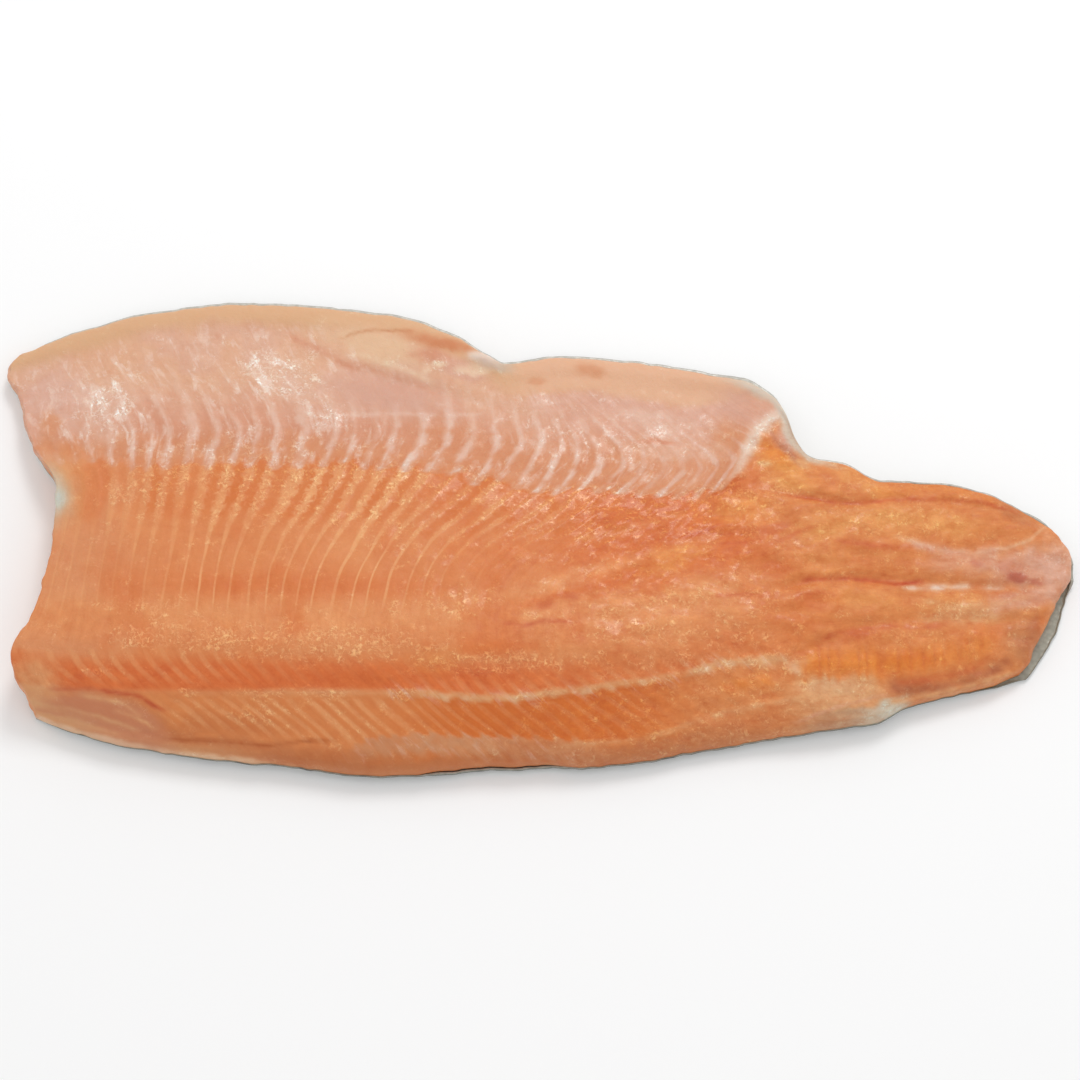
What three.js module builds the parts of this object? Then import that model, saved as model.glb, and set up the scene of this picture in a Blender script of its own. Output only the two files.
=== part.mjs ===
// A raw salmon trout fillet, lying on its skin with the cut flesh up.
// Millimetres, +Z up: head cut at low X, tail at high X, back edge at low Y, belly edge at high Y.
// The flesh is laid out on a grid: columns follow the flakes, rows run from the head cut to the tail.
import * as THREE from 'three';

// Driving dimensions
const LENGTH = 365; // from the foremost point of the head cut to the end of the tail
const WIDTH = 168; // across the widest stretch, from the back edge to the belly edge
const LOIN = 26; // height over the table where the loin is thickest
const FLAKES = 62; // muscle flakes along the midline
const FLAKE_DEPTH = 0.9; // how far the seam between two flakes sinks
const FLAKE_WANDER = 0.5; // how far a flake line strays from its even course
const WALL_STEP = 1; // drop from the flank to the belly wall, where the ribs came off
const LIP = { height: 1.3, width: 5 }; // rounded rim along the belly edge
const VENT_RIDGE = { height: 1.5, width: 4 }; // where the belly wall ends, at the vent
const FLESH_COLOUR = 0xdc9668;

// The smooth swelling behind the pelvic fin, and the fold that bounds it below
const POCKET = { along: 140, across: 70, slope: -0.28, halfLength: 27, halfWidth: 8, height: 2.2 };
const POCKET_FOLD = { below: 14, width: 3.5, depth: 0.9 };

// Lines that run along the fillet, as [along, across] knots. Along is measured from the head end,
// across from an axis through the middle of the head cut.
const BACK_EDGE = [
  [0, -55], [16, -60], [27, -64.5], [61, -72.5], [88, -75.5], [135, -80.5], [180, -77.5], [204, -77],
  [241, -71], [283, -64.5], [296, -62], [307, -56], [331, -50.5], [346, -46.5], [LENGTH, -40],
];
const SEPTUM = [
  [0, -51], [45, -55], [139, -55.5], [172, -57], [218, -51], [250, -45.5], [300, -47], [LENGTH, -32],
];
const MIDLINE = [[0, -30], [107, -31], [190, -32], [249, -23], [285, -18], [LENGTH, -19]];
const BELLY_WALL = [
  [0, 28], [35, 26], [114, 25], [141, 23.5], [165, 19], [200, 15], [236, 14.5], [255, 19.5],
  [276, 14], [293, 11.5], [326, 12], [345, 6], [LENGTH, -6],
];
// The belly edge dips where the pelvic fin was, and steps in at the vent, where the belly wall ends.
const BELLY_EDGE = [
  [0, 68.5], [20, 76.5], [47, 85], [77, 88.5], [104, 87.5], [132, 84], [155, 76.5], [165, 69.5],
  [172, 66], [192, 69], [227, 65.5], [254, 60.5], [264.5, 54], [268.5, 48], [270, 37], [276, 30.5],
  [288, 27.5], [300, 21.5], [318, 21.5], [335, 18], [350, 10.5], [LENGTH, 0.5],
];

// Where those lines sit across the fillet, from 0 at the back edge to 1 at the belly edge
const SEPTUM_SHARE = 0.15;
const CREST_SHARE = 0.25; // the loin's ridge
const MIDLINE_SHARE = 0.3;
const WALL_SHARE = 0.64;
const GUIDES = [
  [0, BACK_EDGE],
  [SEPTUM_SHARE, SEPTUM],
  [MIDLINE_SHARE, MIDLINE],
  [WALL_SHARE, BELLY_WALL],
  [1, BELLY_EDGE],
];

// The two ends and the end of the belly wall at the vent, as [share across, along] knots
const HEAD_CUT = [
  [0, 16.5], [0.13, 14], [0.2, 10.5], [0.24, 10.5], [0.29, 15.5], [0.36, 18.5], [0.5, 21],
  [0.57, 21], [0.66, 12.5], [0.75, 7], [0.82, 5.5], [0.9, 0], [0.95, -1], [1, 4],
];
const TAIL_END = [[0, 346], [0.15, 355], [0.3, 362], [0.45, LENGTH], [0.64, 364.5], [0.85, 361], [1, 356]];
const VENT = [[0.6, 238], [0.67, 250], [0.77, 255], [0.87, 260.5], [0.94, 267], [1, 273]];

// Height of the flesh: the loin's height along the fillet, then shares of it across the body and
// across the tail, and the stretch where the body's section turns into the tail's
const RIDGE = [[0, 21], [50, 24.5], [110, LOIN], [180, 25], [245, 20], [300, 13.5], [345, 9.5], [LENGTH, 8]];
const BODY_SECTION = [
  [0, 0.33], [SEPTUM_SHARE, 0.76], [CREST_SHARE, 1], [MIDLINE_SHARE, 0.98], [WALL_SHARE, 0.6], [1, 0.26],
];
const TAIL_SECTION = [
  [0, 0.62], [SEPTUM_SHARE, 0.88], [CREST_SHARE, 1], [MIDLINE_SHARE, 0.98], [WALL_SHARE, 0.97], [1, 0.7],
];
const TAIL_BLEND = [240, 290];

// Seams between the muscle bundles of the tail: over the backbone, on its belly side and its back side
const TAIL_SEAMS = [
  { guide: MIDLINE, offset: 0, depth: 1.4 },
  { guide: BELLY_WALL, offset: 0, depth: 1.1 },
  { guide: MIDLINE, offset: -13, depth: 0.8 },
];
const TAIL_SEAM_WIDTH = 3;
const TAIL_SEAMS_START = [262, 285];
const TAIL_SEAMS_STOP = [335, 358];

// Flake lines are evenly spaced along the midline. They take on the shape of the fillet's two ends only
// near them, over these shares of the length.
const FLAKES_FROM = 15;
const FLAKES_TO = 362;
const HEAD_REACH = 0.15;
const TAIL_REACH = 0.3;

// How far a flake line leans towards the tail: its size along the fillet, as [share along, mm] knots,
// and how it grows across, as [share across, share of that size]
const BELLY_LEAN = [
  [0, 0], [0.07, 3], [0.155, 10.5], [0.26, 26], [0.375, 41], [0.53, 51], [0.65, 50], [0.82, 32], [1, 0],
];
const BELLY_LEAN_ACROSS = [
  [MIDLINE_SHARE, 0], [0.38, 0.05], [0.47, 0.24], [0.56, 0.57], [WALL_SHARE, 0.81],
  [0.76, 1], [0.83, 0.91], [1, 0.65],
];
// On the belly wall the lines turn back towards the head, as [share across, mm]
const BELLY_TURN = [[0.72, 0], [0.8, -6], [0.9, -14], [1, -19]];
const BACK_LEAN = [[0, 0], [0.12, 38], [0.6, 38], [1, 0]];
const BACK_LEAN_ACROSS = [[0, 1], [0.06, 0.78], [0.134, 0.41], [0.18, 0.21], [0.214, 0.07], [CREST_SHARE, 0]];

// Grid: columns for each flake, and rows in each stretch between two guides
const COLUMNS_PER_FLAKE = 2;
const ROWS_BETWEEN_GUIDES = [5, 6, 8, 9];

// The rim, from the flesh down to the table: how far each ring stands in from the outline at the
// head cut, the tail end, the back edge and the belly edge, and its share of the flesh height there
const RIM_RINGS = [
  { head: 1, tail: 2.5, back: 3, belly: 2.4, height: 1 },
  { head: 0, tail: 0, back: 0, belly: 0, height: 0.5 },
  { head: 0.3, tail: 1, back: 1.5, belly: 1.3, height: 0.16 },
  { head: 1.5, tail: 4, back: 6, belly: 5, height: 0 },
];

// A smooth line through [x, y] knots that never swings past them
function smoothLine(knots) {
  const steps = knots.slice(1).map(([x, y], i) => {
    const gap = x - knots[i][0];
    return { gap, rise: (y - knots[i][1]) / gap };
  });
  const slopes = knots.map((_, i) => {
    const before = steps[Math.max(i - 1, 0)].rise;
    const after = steps[Math.min(i, steps.length - 1)].rise;
    return before * after > 0 ? (2 * before * after) / (before + after) : 0;
  });
  return (x) => {
    let i = steps.length - 1;
    while (i > 0 && x < knots[i][0]) i -= 1;
    const { gap } = steps[i];
    const u = THREE.MathUtils.clamp((x - knots[i][0]) / gap, 0, 1);
    const v = 1 - u;
    return (
      knots[i][1] * (1 + 2 * u) * v * v + slopes[i] * gap * u * v * v
      + knots[i + 1][1] * (1 + 2 * v) * u * u - slopes[i + 1] * gap * v * u * u
    );
  };
}

// From 0 to 1 over a stretch
const rise = (x, [from, to]) => THREE.MathUtils.smoothstep(x, from, to);

// A rounded swelling, 1 where distance is 0 and fading over width
const swell = (distance, width) => Math.exp(-((distance / width) ** 2));

const guideLines = GUIDES.map(([share, knots]) => ({ share, across: smoothLine(knots) }));
const tailSeams = TAIL_SEAMS.map(({ guide, offset, depth }) => ({ line: smoothLine(guide), offset, depth }));
const headCut = smoothLine(HEAD_CUT);
const tailEnd = smoothLine(TAIL_END);
const ventAlong = smoothLine(VENT);
const ridgeHeight = smoothLine(RIDGE);
const bodySection = smoothLine(BODY_SECTION);
const tailSection = smoothLine(TAIL_SECTION);
const bellyLean = smoothLine(BELLY_LEAN);
const bellyLeanAcross = smoothLine(BELLY_LEAN_ACROSS);
const bellyTurn = smoothLine(BELLY_TURN);
const backLean = smoothLine(BACK_LEAN);
const backLeanAcross = smoothLine(BACK_LEAN_ACROSS);

// How much of an end's shape a flake line keeps, at a distance from it
const fadeFrom = (distance, reach) => Math.max(0, 1 - distance / reach) ** 2;

// Plan position of a place on the fillet: s is its share along the flake columns, t across
function planAt(s, t) {
  const even = THREE.MathUtils.lerp(FLAKES_FROM, FLAKES_TO, s);
  const headShape = (headCut(t) - FLAKES_FROM) * fadeFrom(s, HEAD_REACH);
  const tailShape = (tailEnd(t) - FLAKES_TO) * fadeFrom(1 - s, TAIL_REACH);
  const lean = bellyLean(s) * bellyLeanAcross(t) + backLean(s) * backLeanAcross(t);
  const turn = bellyTurn(t) * rise(s, [0, 0.12]) * (1 - rise(s, [0.6, 0.9]));
  const wander = FLAKE_WANDER * Math.sin(21 * t + 37 * s) * Math.sin(Math.PI * s);
  const along = even + headShape + tailShape + lean + turn + wander;
  const across = smoothLine(guideLines.map((line) => [line.share, line.across(along)]))(t);
  return { along, across };
}

// Height of the flesh over the table, before the flake seams
function fleshHeight(along, across, t) {
  const section = THREE.MathUtils.lerp(bodySection(t), tailSection(t), rise(along, TAIL_BLEND));
  const pastVent = along - ventAlong(t);
  const onWall = rise(t, [WALL_SHARE - 0.015, WALL_SHARE + 0.02]);
  const inCavity = onWall * (1 - rise(pastVent, [-VENT_RIDGE.width / 2, VENT_RIDGE.width]));
  const lip = LIP.height * swell((1 - t) * WIDTH - LIP.width, LIP.width);
  const ventRidge = VENT_RIDGE.height * swell(pastVent + VENT_RIDGE.width / 2, VENT_RIDGE.width);
  return ridgeHeight(along) * section + (lip - WALL_STEP) * inCavity + ventRidge * onWall
    + pelvicPocket(along, across) - tailSeamDepth(along, across, t);
}

function pelvicPocket(along, across) {
  const above = across - POCKET.across - POCKET.slope * (along - POCKET.along);
  const swelling = POCKET.height * swell(above, POCKET.halfWidth);
  const fold = POCKET_FOLD.depth * swell(above + POCKET_FOLD.below, POCKET_FOLD.width);
  return (swelling - fold) * swell(along - POCKET.along, POCKET.halfLength);
}

function tailSeamDepth(along, across, t) {
  const inTail = rise(along, TAIL_SEAMS_START) * (1 - rise(along, TAIL_SEAMS_STOP));
  const offTheEdge = rise(1 - t, [0, 0.1]);
  const depths = tailSeams.map(
    ({ line, offset, depth }) => depth * swell(across - line(along) - offset, TAIL_SEAM_WIDTH),
  );
  return inTail * offTheEdge * depths.reduce((sum, depth) => sum + depth);
}

// Depth of the seam between two flakes: less on the ridge and in the tail, none at the rims
function flakeSeamDepth(along, t) {
  const towardsTail = 1 - 0.65 * rise(along, [170, 290]);
  const offTheRims = rise(t, [0, 0.06]) * (1 - rise(t, [0.8, 0.93]));
  const offTheRidge = 1 - 0.5 * swell(t - CREST_SHARE, 0.05);
  return FLAKE_DEPTH * towardsTail * offTheRims * offTheRidge;
}

// Shares across of the grid's rows
const rows = [0];
ROWS_BETWEEN_GUIDES.forEach((count, stretch) => {
  const [from, to] = [GUIDES[stretch][0], GUIDES[stretch + 1][0]];
  for (let k = 1; k <= count; k += 1) rows.push(from + ((to - from) * k) / count);
});
const lastRow = rows.length - 1;
const lastColumn = FLAKES * COLUMNS_PER_FLAKE;

// A grid place as it sits on one ring of the rim: the whole grid drawn in by that ring's distances
function placeOnRing(column, row, ring) {
  const s = (ring.head + (LENGTH - ring.head - ring.tail) * (column / lastColumn)) / LENGTH;
  const t = (ring.back + (WIDTH - ring.back - ring.belly) * rows[row]) / WIDTH;
  const { along, across } = planAt(s, t);
  const seam = column % COLUMNS_PER_FLAKE === 0 ? flakeSeamDepth(along, t) : 0;
  return [along, across, (fleshHeight(along, across, t) - seam) * ring.height];
}

// Grid places round the rim, counterclockwise seen from above
function rimPlaces() {
  const places = [];
  for (let column = 0; column < lastColumn; column += 1) places.push([column, 0]);
  for (let row = 0; row < lastRow; row += 1) places.push([lastColumn, row]);
  for (let column = lastColumn; column > 0; column -= 1) places.push([column, lastRow]);
  for (let row = lastRow; row > 0; row -= 1) places.push([0, row]);
  return places;
}

function filletGeometry() {
  const positions = [];
  const triangles = [];
  const addQuad = (a, b, c, d) => triangles.push(a, b, c, a, c, d);
  const gridIndex = (column, row) => row * (lastColumn + 1) + column;
  const [fleshRing, ...lowerRings] = RIM_RINGS;

  // Cut face of the flesh
  for (let row = 0; row <= lastRow; row += 1) {
    for (let column = 0; column <= lastColumn; column += 1) {
      positions.push(...placeOnRing(column, row, fleshRing));
      if (row === lastRow || column === lastColumn) continue;
      addQuad(
        gridIndex(column, row), gridIndex(column + 1, row),
        gridIndex(column + 1, row + 1), gridIndex(column, row + 1),
      );
    }
  }

  // Rim, ring by ring down to the table
  const rim = rimPlaces();
  let upper = rim.map(([column, row]) => gridIndex(column, row));
  for (const ring of lowerRings) {
    const first = positions.length / 3;
    const lower = rim.map((_, k) => first + k);
    rim.forEach(([column, row], k) => {
      const next = (k + 1) % rim.length;
      positions.push(...placeOnRing(column, row, ring));
      addQuad(upper[k], lower[k], lower[next], upper[next]);
    });
    upper = lower;
  }

  // Flat underside, on the table
  const contour = upper.map((index) => new THREE.Vector2(positions[3 * index], positions[3 * index + 1]));
  for (const [a, b, c] of THREE.ShapeUtils.triangulateShape(contour, [])) {
    triangles.push(upper[a], upper[c], upper[b]);
  }

  const geometry = new THREE.BufferGeometry();
  geometry.setAttribute('position', new THREE.Float32BufferAttribute(positions, 3));
  geometry.setIndex(triangles);
  geometry.computeBoundingBox();
  const middle = geometry.boundingBox.getCenter(new THREE.Vector3());
  geometry.translate(-middle.x, -middle.y, 0);
  geometry.computeVertexNormals();
  return geometry;
}

const fillet = new THREE.Mesh(
  filletGeometry(),
  new THREE.MeshStandardMaterial({ color: FLESH_COLOUR, roughness: 0.35, metalness: 0 }),
);
fillet.name = 'fillet';

const trout = new THREE.Group();
trout.add(fillet);

export default trout;
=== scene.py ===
"""A raw salmon trout fillet, lying on its skin with the cut flesh up.

Working sizes are millimetres: along runs from the head cut to the tail, across from the back edge to the
belly edge, and up from the table. A mesh is turned into metres, in the frame's place, when it is made.
"""
import math

import bpy
import numpy as np
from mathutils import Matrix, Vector
from mathutils.geometry import tessellate_polygon

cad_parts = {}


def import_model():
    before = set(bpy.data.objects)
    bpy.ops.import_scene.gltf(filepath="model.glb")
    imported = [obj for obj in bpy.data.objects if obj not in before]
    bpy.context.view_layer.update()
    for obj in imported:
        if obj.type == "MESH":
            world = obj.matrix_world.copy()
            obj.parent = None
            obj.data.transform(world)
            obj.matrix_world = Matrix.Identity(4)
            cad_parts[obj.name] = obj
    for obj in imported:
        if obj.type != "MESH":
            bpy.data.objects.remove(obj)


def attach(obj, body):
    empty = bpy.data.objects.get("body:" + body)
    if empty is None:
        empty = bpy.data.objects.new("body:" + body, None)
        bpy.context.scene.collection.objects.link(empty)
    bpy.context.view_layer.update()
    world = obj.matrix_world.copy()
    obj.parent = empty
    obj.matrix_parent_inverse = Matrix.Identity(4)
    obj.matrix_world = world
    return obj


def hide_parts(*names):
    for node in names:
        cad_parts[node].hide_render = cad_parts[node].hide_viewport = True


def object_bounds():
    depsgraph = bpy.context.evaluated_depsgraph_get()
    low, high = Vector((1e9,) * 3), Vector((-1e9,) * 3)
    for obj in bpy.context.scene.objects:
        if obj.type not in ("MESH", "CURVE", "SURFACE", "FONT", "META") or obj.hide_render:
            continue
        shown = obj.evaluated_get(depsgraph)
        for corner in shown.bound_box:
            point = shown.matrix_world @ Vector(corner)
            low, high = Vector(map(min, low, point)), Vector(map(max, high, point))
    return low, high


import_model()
cad_low, cad_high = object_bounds()


# Flesh
# One side of a salmon trout, cut off the backbone and the ribs and trimmed of its fins. It is raw muscle in
# slanting flakes with pale seams between them: a thick loin, and a thin belly flap under a pink lining.
MM = 0.001
LENGTH = 365
WIDTH = 168
LOIN = (cad_high.z - cad_low.z) / MM
FLAKES = 62
FLAKE_WANDER = 0.5
KNIFE_REACH = (2, 9)

# Lines that run along the fillet, as [along, across] knots
BACK_EDGE = [
    [0, -55], [16, -60], [27, -64.5], [61, -72.5], [88, -75.5], [135, -80.5], [180, -77.5], [204, -77],
    [241, -71], [283, -64.5], [296, -62], [307, -56], [331, -50.5], [346, -46.5], [LENGTH, -40],
]
SEPTUM = [
    [0, -51], [45, -55], [139, -55.5], [172, -57], [218, -51], [250, -45.5], [300, -47], [LENGTH, -32],
]
MIDLINE = [[0, -30], [107, -31], [190, -32], [249, -23], [285, -18], [LENGTH, -19]]
BELLY_WALL = [
    [0, 28], [35, 26], [114, 25], [141, 23.5], [165, 19], [200, 15], [236, 14.5], [255, 19.5],
    [276, 14], [293, 11.5], [326, 12], [345, 6], [LENGTH, -6],
]
BELLY_EDGE = [
    [0, 68.5], [20, 76.5], [47, 85], [77, 88.5], [104, 87.5], [132, 84], [155, 76.5], [165, 69.5],
    [172, 66], [192, 69], [227, 65.5], [254, 60.5], [264, 54], [267.8, 47.5], [271, 37.5], [276, 30.5],
    [288, 27.5], [300, 21.5], [318, 21.5], [335, 18], [350, 10.5], [LENGTH, 0.5],
]

# Where those lines sit across the fillet, from 0 at the back edge to 1 at the belly edge
SEPTUM_SHARE = 0.15
CREST_SHARE = 0.25
MIDLINE_SHARE = 0.3
WALL_SHARE = 0.64
GUIDE_SHARES = [0, SEPTUM_SHARE, MIDLINE_SHARE, WALL_SHARE, 1]

# The two ends, and the end of the belly wall at the vent, as [share across, along] knots
HEAD_CUT = [
    [0, 16.5], [0.13, 14], [0.2, 10.5], [0.24, 10.5], [0.29, 15.5], [0.36, 18.5], [0.5, 21],
    [0.57, 21], [0.66, 12.5], [0.75, 7], [0.82, 5.5], [0.9, 0], [0.95, -1], [1, 4],
]
TAIL_END = [[0, 346], [0.15, 355], [0.3, 362], [0.45, LENGTH], [0.64, 364.5], [0.85, 361], [1, 356]]
VENT = [[0.6, 238], [0.67, 250], [0.77, 255], [0.87, 260.5], [0.94, 267], [1, 273]]

# Height of the loin along the fillet, and shares of it across the body and across the tail
RIDGE = [[0, 21], [50, 24.5], [110, LOIN], [180, 25], [245, 20], [300, 13.5], [345, 9.5], [LENGTH, 8]]
BODY_SECTION = [
    [0, 0.33], [SEPTUM_SHARE, 0.76], [CREST_SHARE, 1], [MIDLINE_SHARE, 0.98], [WALL_SHARE, 0.6], [1, 0.26],
]
TAIL_SECTION = [
    [0, 0.62], [SEPTUM_SHARE, 0.88], [CREST_SHARE, 1], [MIDLINE_SHARE, 0.98], [WALL_SHARE, 0.97], [1, 0.7],
]

# Flake lines: even along the midline, shaped by the two ends near them, and leaning towards the tail
FLAKES_FROM = 15
FLAKES_TO = 362
HEAD_REACH = 0.15
TAIL_REACH = 0.3
BELLY_LEAN = [
    [0, 0], [0.07, 3], [0.155, 10.5], [0.26, 26], [0.375, 41], [0.53, 51], [0.65, 50], [0.82, 32], [1, 0],
]
BELLY_LEAN_ACROSS = [
    [MIDLINE_SHARE, 0], [0.38, 0.05], [0.47, 0.24], [0.56, 0.57], [WALL_SHARE, 0.81],
    [0.76, 1], [0.83, 0.91], [1, 0.65],
]
BELLY_TURN = [[0.72, 0], [0.8, -6], [0.9, -14], [1, -19]]
BACK_LEAN_FULL = 38
BACK_LEAN = [[0, 0], [0.12, BACK_LEAN_FULL], [0.6, BACK_LEAN_FULL], [1, 0]]
BACK_LEAN_ACROSS = [[0, 1], [0.06, 0.78], [0.134, 0.41], [0.18, 0.21], [0.214, 0.07], [CREST_SHARE, 0]]


def through(xs, ys, x):
    """Reads at x a smooth line through knots that never swings past them. A y may be an array like x."""
    xs = np.asarray(xs, float)
    ys = np.stack([np.broadcast_to(y, x.shape) for y in ys])
    gaps = np.diff(xs)
    rises = np.diff(ys, axis=0) / gaps[:, None]
    left = np.concatenate([rises[:1], rises])
    right = np.concatenate([rises, rises[-1:]])
    agree = left * right > 0
    slopes = np.where(agree, 2 * left * right / np.where(agree, left + right, 1), 0)
    i = np.clip(np.searchsorted(xs, x, side="right") - 1, 0, len(gaps) - 1)
    here = np.arange(len(x))
    u = np.clip((x - xs[i]) / gaps[i], 0, 1)
    v = 1 - u
    return (
        ys[i, here] * (1 + 2 * u) * v * v + slopes[i, here] * gaps[i] * u * v * v
        + ys[i + 1, here] * (1 + 2 * v) * u * u - slopes[i + 1, here] * gaps[i] * v * u * u
    )


def line(knots, x):
    """Reads at x the smooth line through [x, y] knots."""
    xs, ys = zip(*knots)
    return through(xs, ys, x)


def rise(x, start, stop):
    """From 0 to 1, smoothly, between start and stop."""
    u = np.clip((x - start) / (stop - start), 0, 1)
    return u * u * (3 - 2 * u)


def fall(x, start, stop):
    """From 1 to 0, smoothly, between start and stop."""
    return 1 - rise(x, start, stop)


def swell(distance, width):
    """A rounded swelling: 1 at no distance, fading over the width."""
    return np.exp(-(distance / width) ** 2)


def mottle(x, y, size, seed):
    """Seeded smooth noise from -1 to 1, in lumps of about that size."""
    cells = 256
    lattice = np.random.default_rng(seed).uniform(-1, 1, (cells, cells))
    i = np.floor(x / size).astype(int)
    j = np.floor(y / size).astype(int)
    u = rise(x / size - i, 0, 1)
    v = rise(y / size - j, 0, 1)
    i, j, next_i, next_j = i % cells, j % cells, (i + 1) % cells, (j + 1) % cells
    low = lattice[i, j] * (1 - u) + lattice[next_i, j] * u
    high = lattice[i, next_j] * (1 - u) + lattice[next_i, next_j] * u
    return low * (1 - v) + high * v


def rough(x, y, *layers):
    """Layers of mottling added up, each with its strength, its size and its seed."""
    return sum(strength * mottle(x, y, size, seed) for strength, size, seed in layers)


def plan(s, t):
    """Along and across of a place: s is its share along the flake columns, t its share across."""
    head_fade = np.clip(1 - s / HEAD_REACH, 0, None) ** 2
    tail_fade = np.clip(1 - (1 - s) / TAIL_REACH, 0, None) ** 2
    along = FLAKES_FROM + (FLAKES_TO - FLAKES_FROM) * s
    along += (line(HEAD_CUT, t) - FLAKES_FROM) * head_fade
    along += (line(TAIL_END, t) - FLAKES_TO) * tail_fade
    along += line(BELLY_LEAN, s) * line(BELLY_LEAN_ACROSS, t)
    along += line(BACK_LEAN, s) * line(BACK_LEAN_ACROSS, t)
    # The flakes turn back towards the belly edge, but not beside the pelvic fin
    turn_share = rise(s, 0, 0.12) * fall(s, 0.6, 0.9) * (1 - 1.35 * swell(s - 0.345, 0.08))
    along += line(BELLY_TURN, t) * turn_share
    along += FLAKE_WANDER * np.sin(21 * t + 37 * s) * np.sin(math.pi * s)
    guides = [line(knots, along) for knots in (BACK_EDGE, SEPTUM, MIDLINE, BELLY_WALL, BELLY_EDGE)]
    across = through(GUIDE_SHARES, guides, t)
    # The knife leaves the edges a little ragged
    at_ends = fall(np.minimum(s, 1 - s) * LENGTH, *KNIFE_REACH)
    at_sides = fall(np.minimum(t, 1 - t) * WIDTH, *KNIFE_REACH)
    along += at_ends * rough(along, across, (0.7, 7, 11), (0.3, 2.5, 12))
    across += at_sides * rough(along, across, (0.5, 11, 13), (0.25, 3, 14))
    return along, across


def strip(knots, along, across, width, fade=5):
    """A soft strip along a named line: 1 on it, fading over its half width and past its two ends."""
    start, stop = knots[0][0], knots[-1][0]
    ends = rise(along, start - fade / 2, start + fade / 2) * fall(along, stop - fade / 2, stop + fade / 2)
    return ends * swell(across - line(knots, along), width)


def patch(along, across, x, y, half_length, half_width, turn=0):
    """A soft oval patch: 1 in its middle, fading over its half sizes. Turn is its slope, in degrees."""
    cos, sin = math.cos(math.radians(turn)), math.sin(math.radians(turn))
    x, y = along - x, across - y
    return np.exp(-(((x * cos + y * sin) / half_length) ** 2) - ((y * cos - x * sin) / half_width) ** 2)


def flake_number(s, t):
    """Flake number of a place, wandering so that no two flakes are alike, and more on the belly wall."""
    pitch = (FLAKES_TO - FLAKES_FROM) / FLAKES
    number = s * FLAKES
    cut_short = (line(BACK_LEAN, s) - BACK_LEAN_FULL) * line(BACK_LEAN_ACROSS, t) * fall(s, 0.3, 0.4)
    number += cut_short / pitch
    wander = 0.2 * mottle(number, t * 8, 1.7, 21) + 0.03 * mottle(number, t * 30, 1.1, 22)
    wander += 0.22 * mottle(number, t * 22, 1.3, 25) * fall(t, SEPTUM_SHARE - 0.03, SEPTUM_SHARE)
    wall_wander = 0.2 * mottle(number, t * 14, 1.4, 23) + 0.1 * mottle(number, t * 34, 0.9, 24)
    return number + wander + wall_wander * rise(t, WALL_SHARE - 0.02, WALL_SHARE + 0.06)


# Relief: how far each form stands out or lies in, and its width, which for a seam is a share of a flake.
# The fin's stub is an oval: along, across, half length, half width and slope
WALL_STEP = 1
WALL_JAG = 0.8
LIP_HEIGHT = 1.3
LIP_WIDTH = 5
VENT_RIDGE_HEIGHT = 1.5
VENT_RIDGE_WIDTH = 4
POCKET_AT = (140, 70)
POCKET_SLOPE = -0.28
POCKET_LENGTH = 27
POCKET_WIDTH = 8
POCKET_HEIGHT = 2.2
POCKET_FOLD_BELOW = 14
POCKET_FOLD_DEPTH = 1.1
POCKET_FOLD_WIDTH = 3
FIN_STUB = (166, 65.5, 4.5, 2.2, -20)
FIN_STUB_HEIGHT = 3
GROOVE_DEPTH = 0.12
GROOVE_WIDTH = 0.17
FLAKE_SWELL = 0.05
FLAKE_SWELL_WIDTH = 0.3
TILE_SLOPE = 0.2
TILE_EDGE = 0.3
TILE_EDGE_WIDTH = 0.2
LINING_RIDGE = 0.25
LINING_RIDGE_WIDTH = 0.22
SEPTUM_HEIGHT = 0.3
BACK_FAT_HEIGHT = 0.4
BACK_FAT_POINTS = 1.7
BACK_LINE_HEIGHT = 0.25
TRIM_DEPTH = 0.7
LUMP_HEIGHT = 0.9
LUMP_NOTCH = 0.7
LUMP_NOTCH_WIDTH = 0.22
LUMP_WIDTH = 4
TAIL_SEAM_WIDTH = 2.2
TAIL_SEAMS = [
    ([[262, -19], [276, -16], [301, -14.7], [332, -16.2], [350, -16]], 1.5),
    ([[264, 16], [275, 13.8], [292, 11.7], [301, 14], [326, 13.1], [346, 8]], 1.2),
    ([[268, -40], [279, -36.5], [286, -32.9], [304, -29], [346, -28]], 1.0),
]
SEPTUM_STRIP = [
    [134, -55.5], [145, -55.7], [155, -56.7], [171, -57.4], [191, -55.1], [204, -53.2], [217, -51.2],
    [230, -48.7], [244, -44.5], [264, -42.7],
]
BACK_FAT = [[116, -75.5], [124, -72.2], [130, -69.2], [149, -68.4], [172, -69], [194, -69.6], [215, -71]]
BACK_LINE = [
    [188, -71.5], [204, -70], [215, -69.1], [224, -66.8], [234, -63.4], [248, -59.3], [260, -57],
    [270, -55.4],
]
TAIL_LUMPS = [[270, -45.5], [277, -43.8], [300, -43.8], [323, -40], [334, -36.5]]
LUMP_PITCH = 4.3
FAT_WEDGE = [[262, -50], [270, -49.5], [280, -48.5], [290, -48], [298, -48.6], [304, -52]]
FAT_EDGE = [[252, -69], [260, -65.6], [272, -60.5], [284, -58.2], [293, -57.4], [299, -54.8], [308, -53]]
TRIMMED_FACE = [
    [0, -50], [16, -52.8], [31, -53.7], [45, -55.3], [52, -57.4], [60, -61.9], [65, -67.7], [68, -72],
]


def wall_distance(along, across, flake):
    """How far a place is past the ragged edge of the lining, towards the belly."""
    ragged = WALL_JAG * np.cos(2 * math.pi * flake) + rough(along, across, (2, 6, 31), (1.2, 2.2, 32))
    return across - line(BELLY_WALL, along) + ragged * fall(along, 240, 262)


def in_cavity(along, across, t, flake):
    """1 on the belly wall, where the lining is, and 0 elsewhere."""
    before_vent = fall(along - line(VENT, t), -1.5, 1.5)
    return rise(wall_distance(along, across, flake), -1, 1) * before_vent


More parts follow.
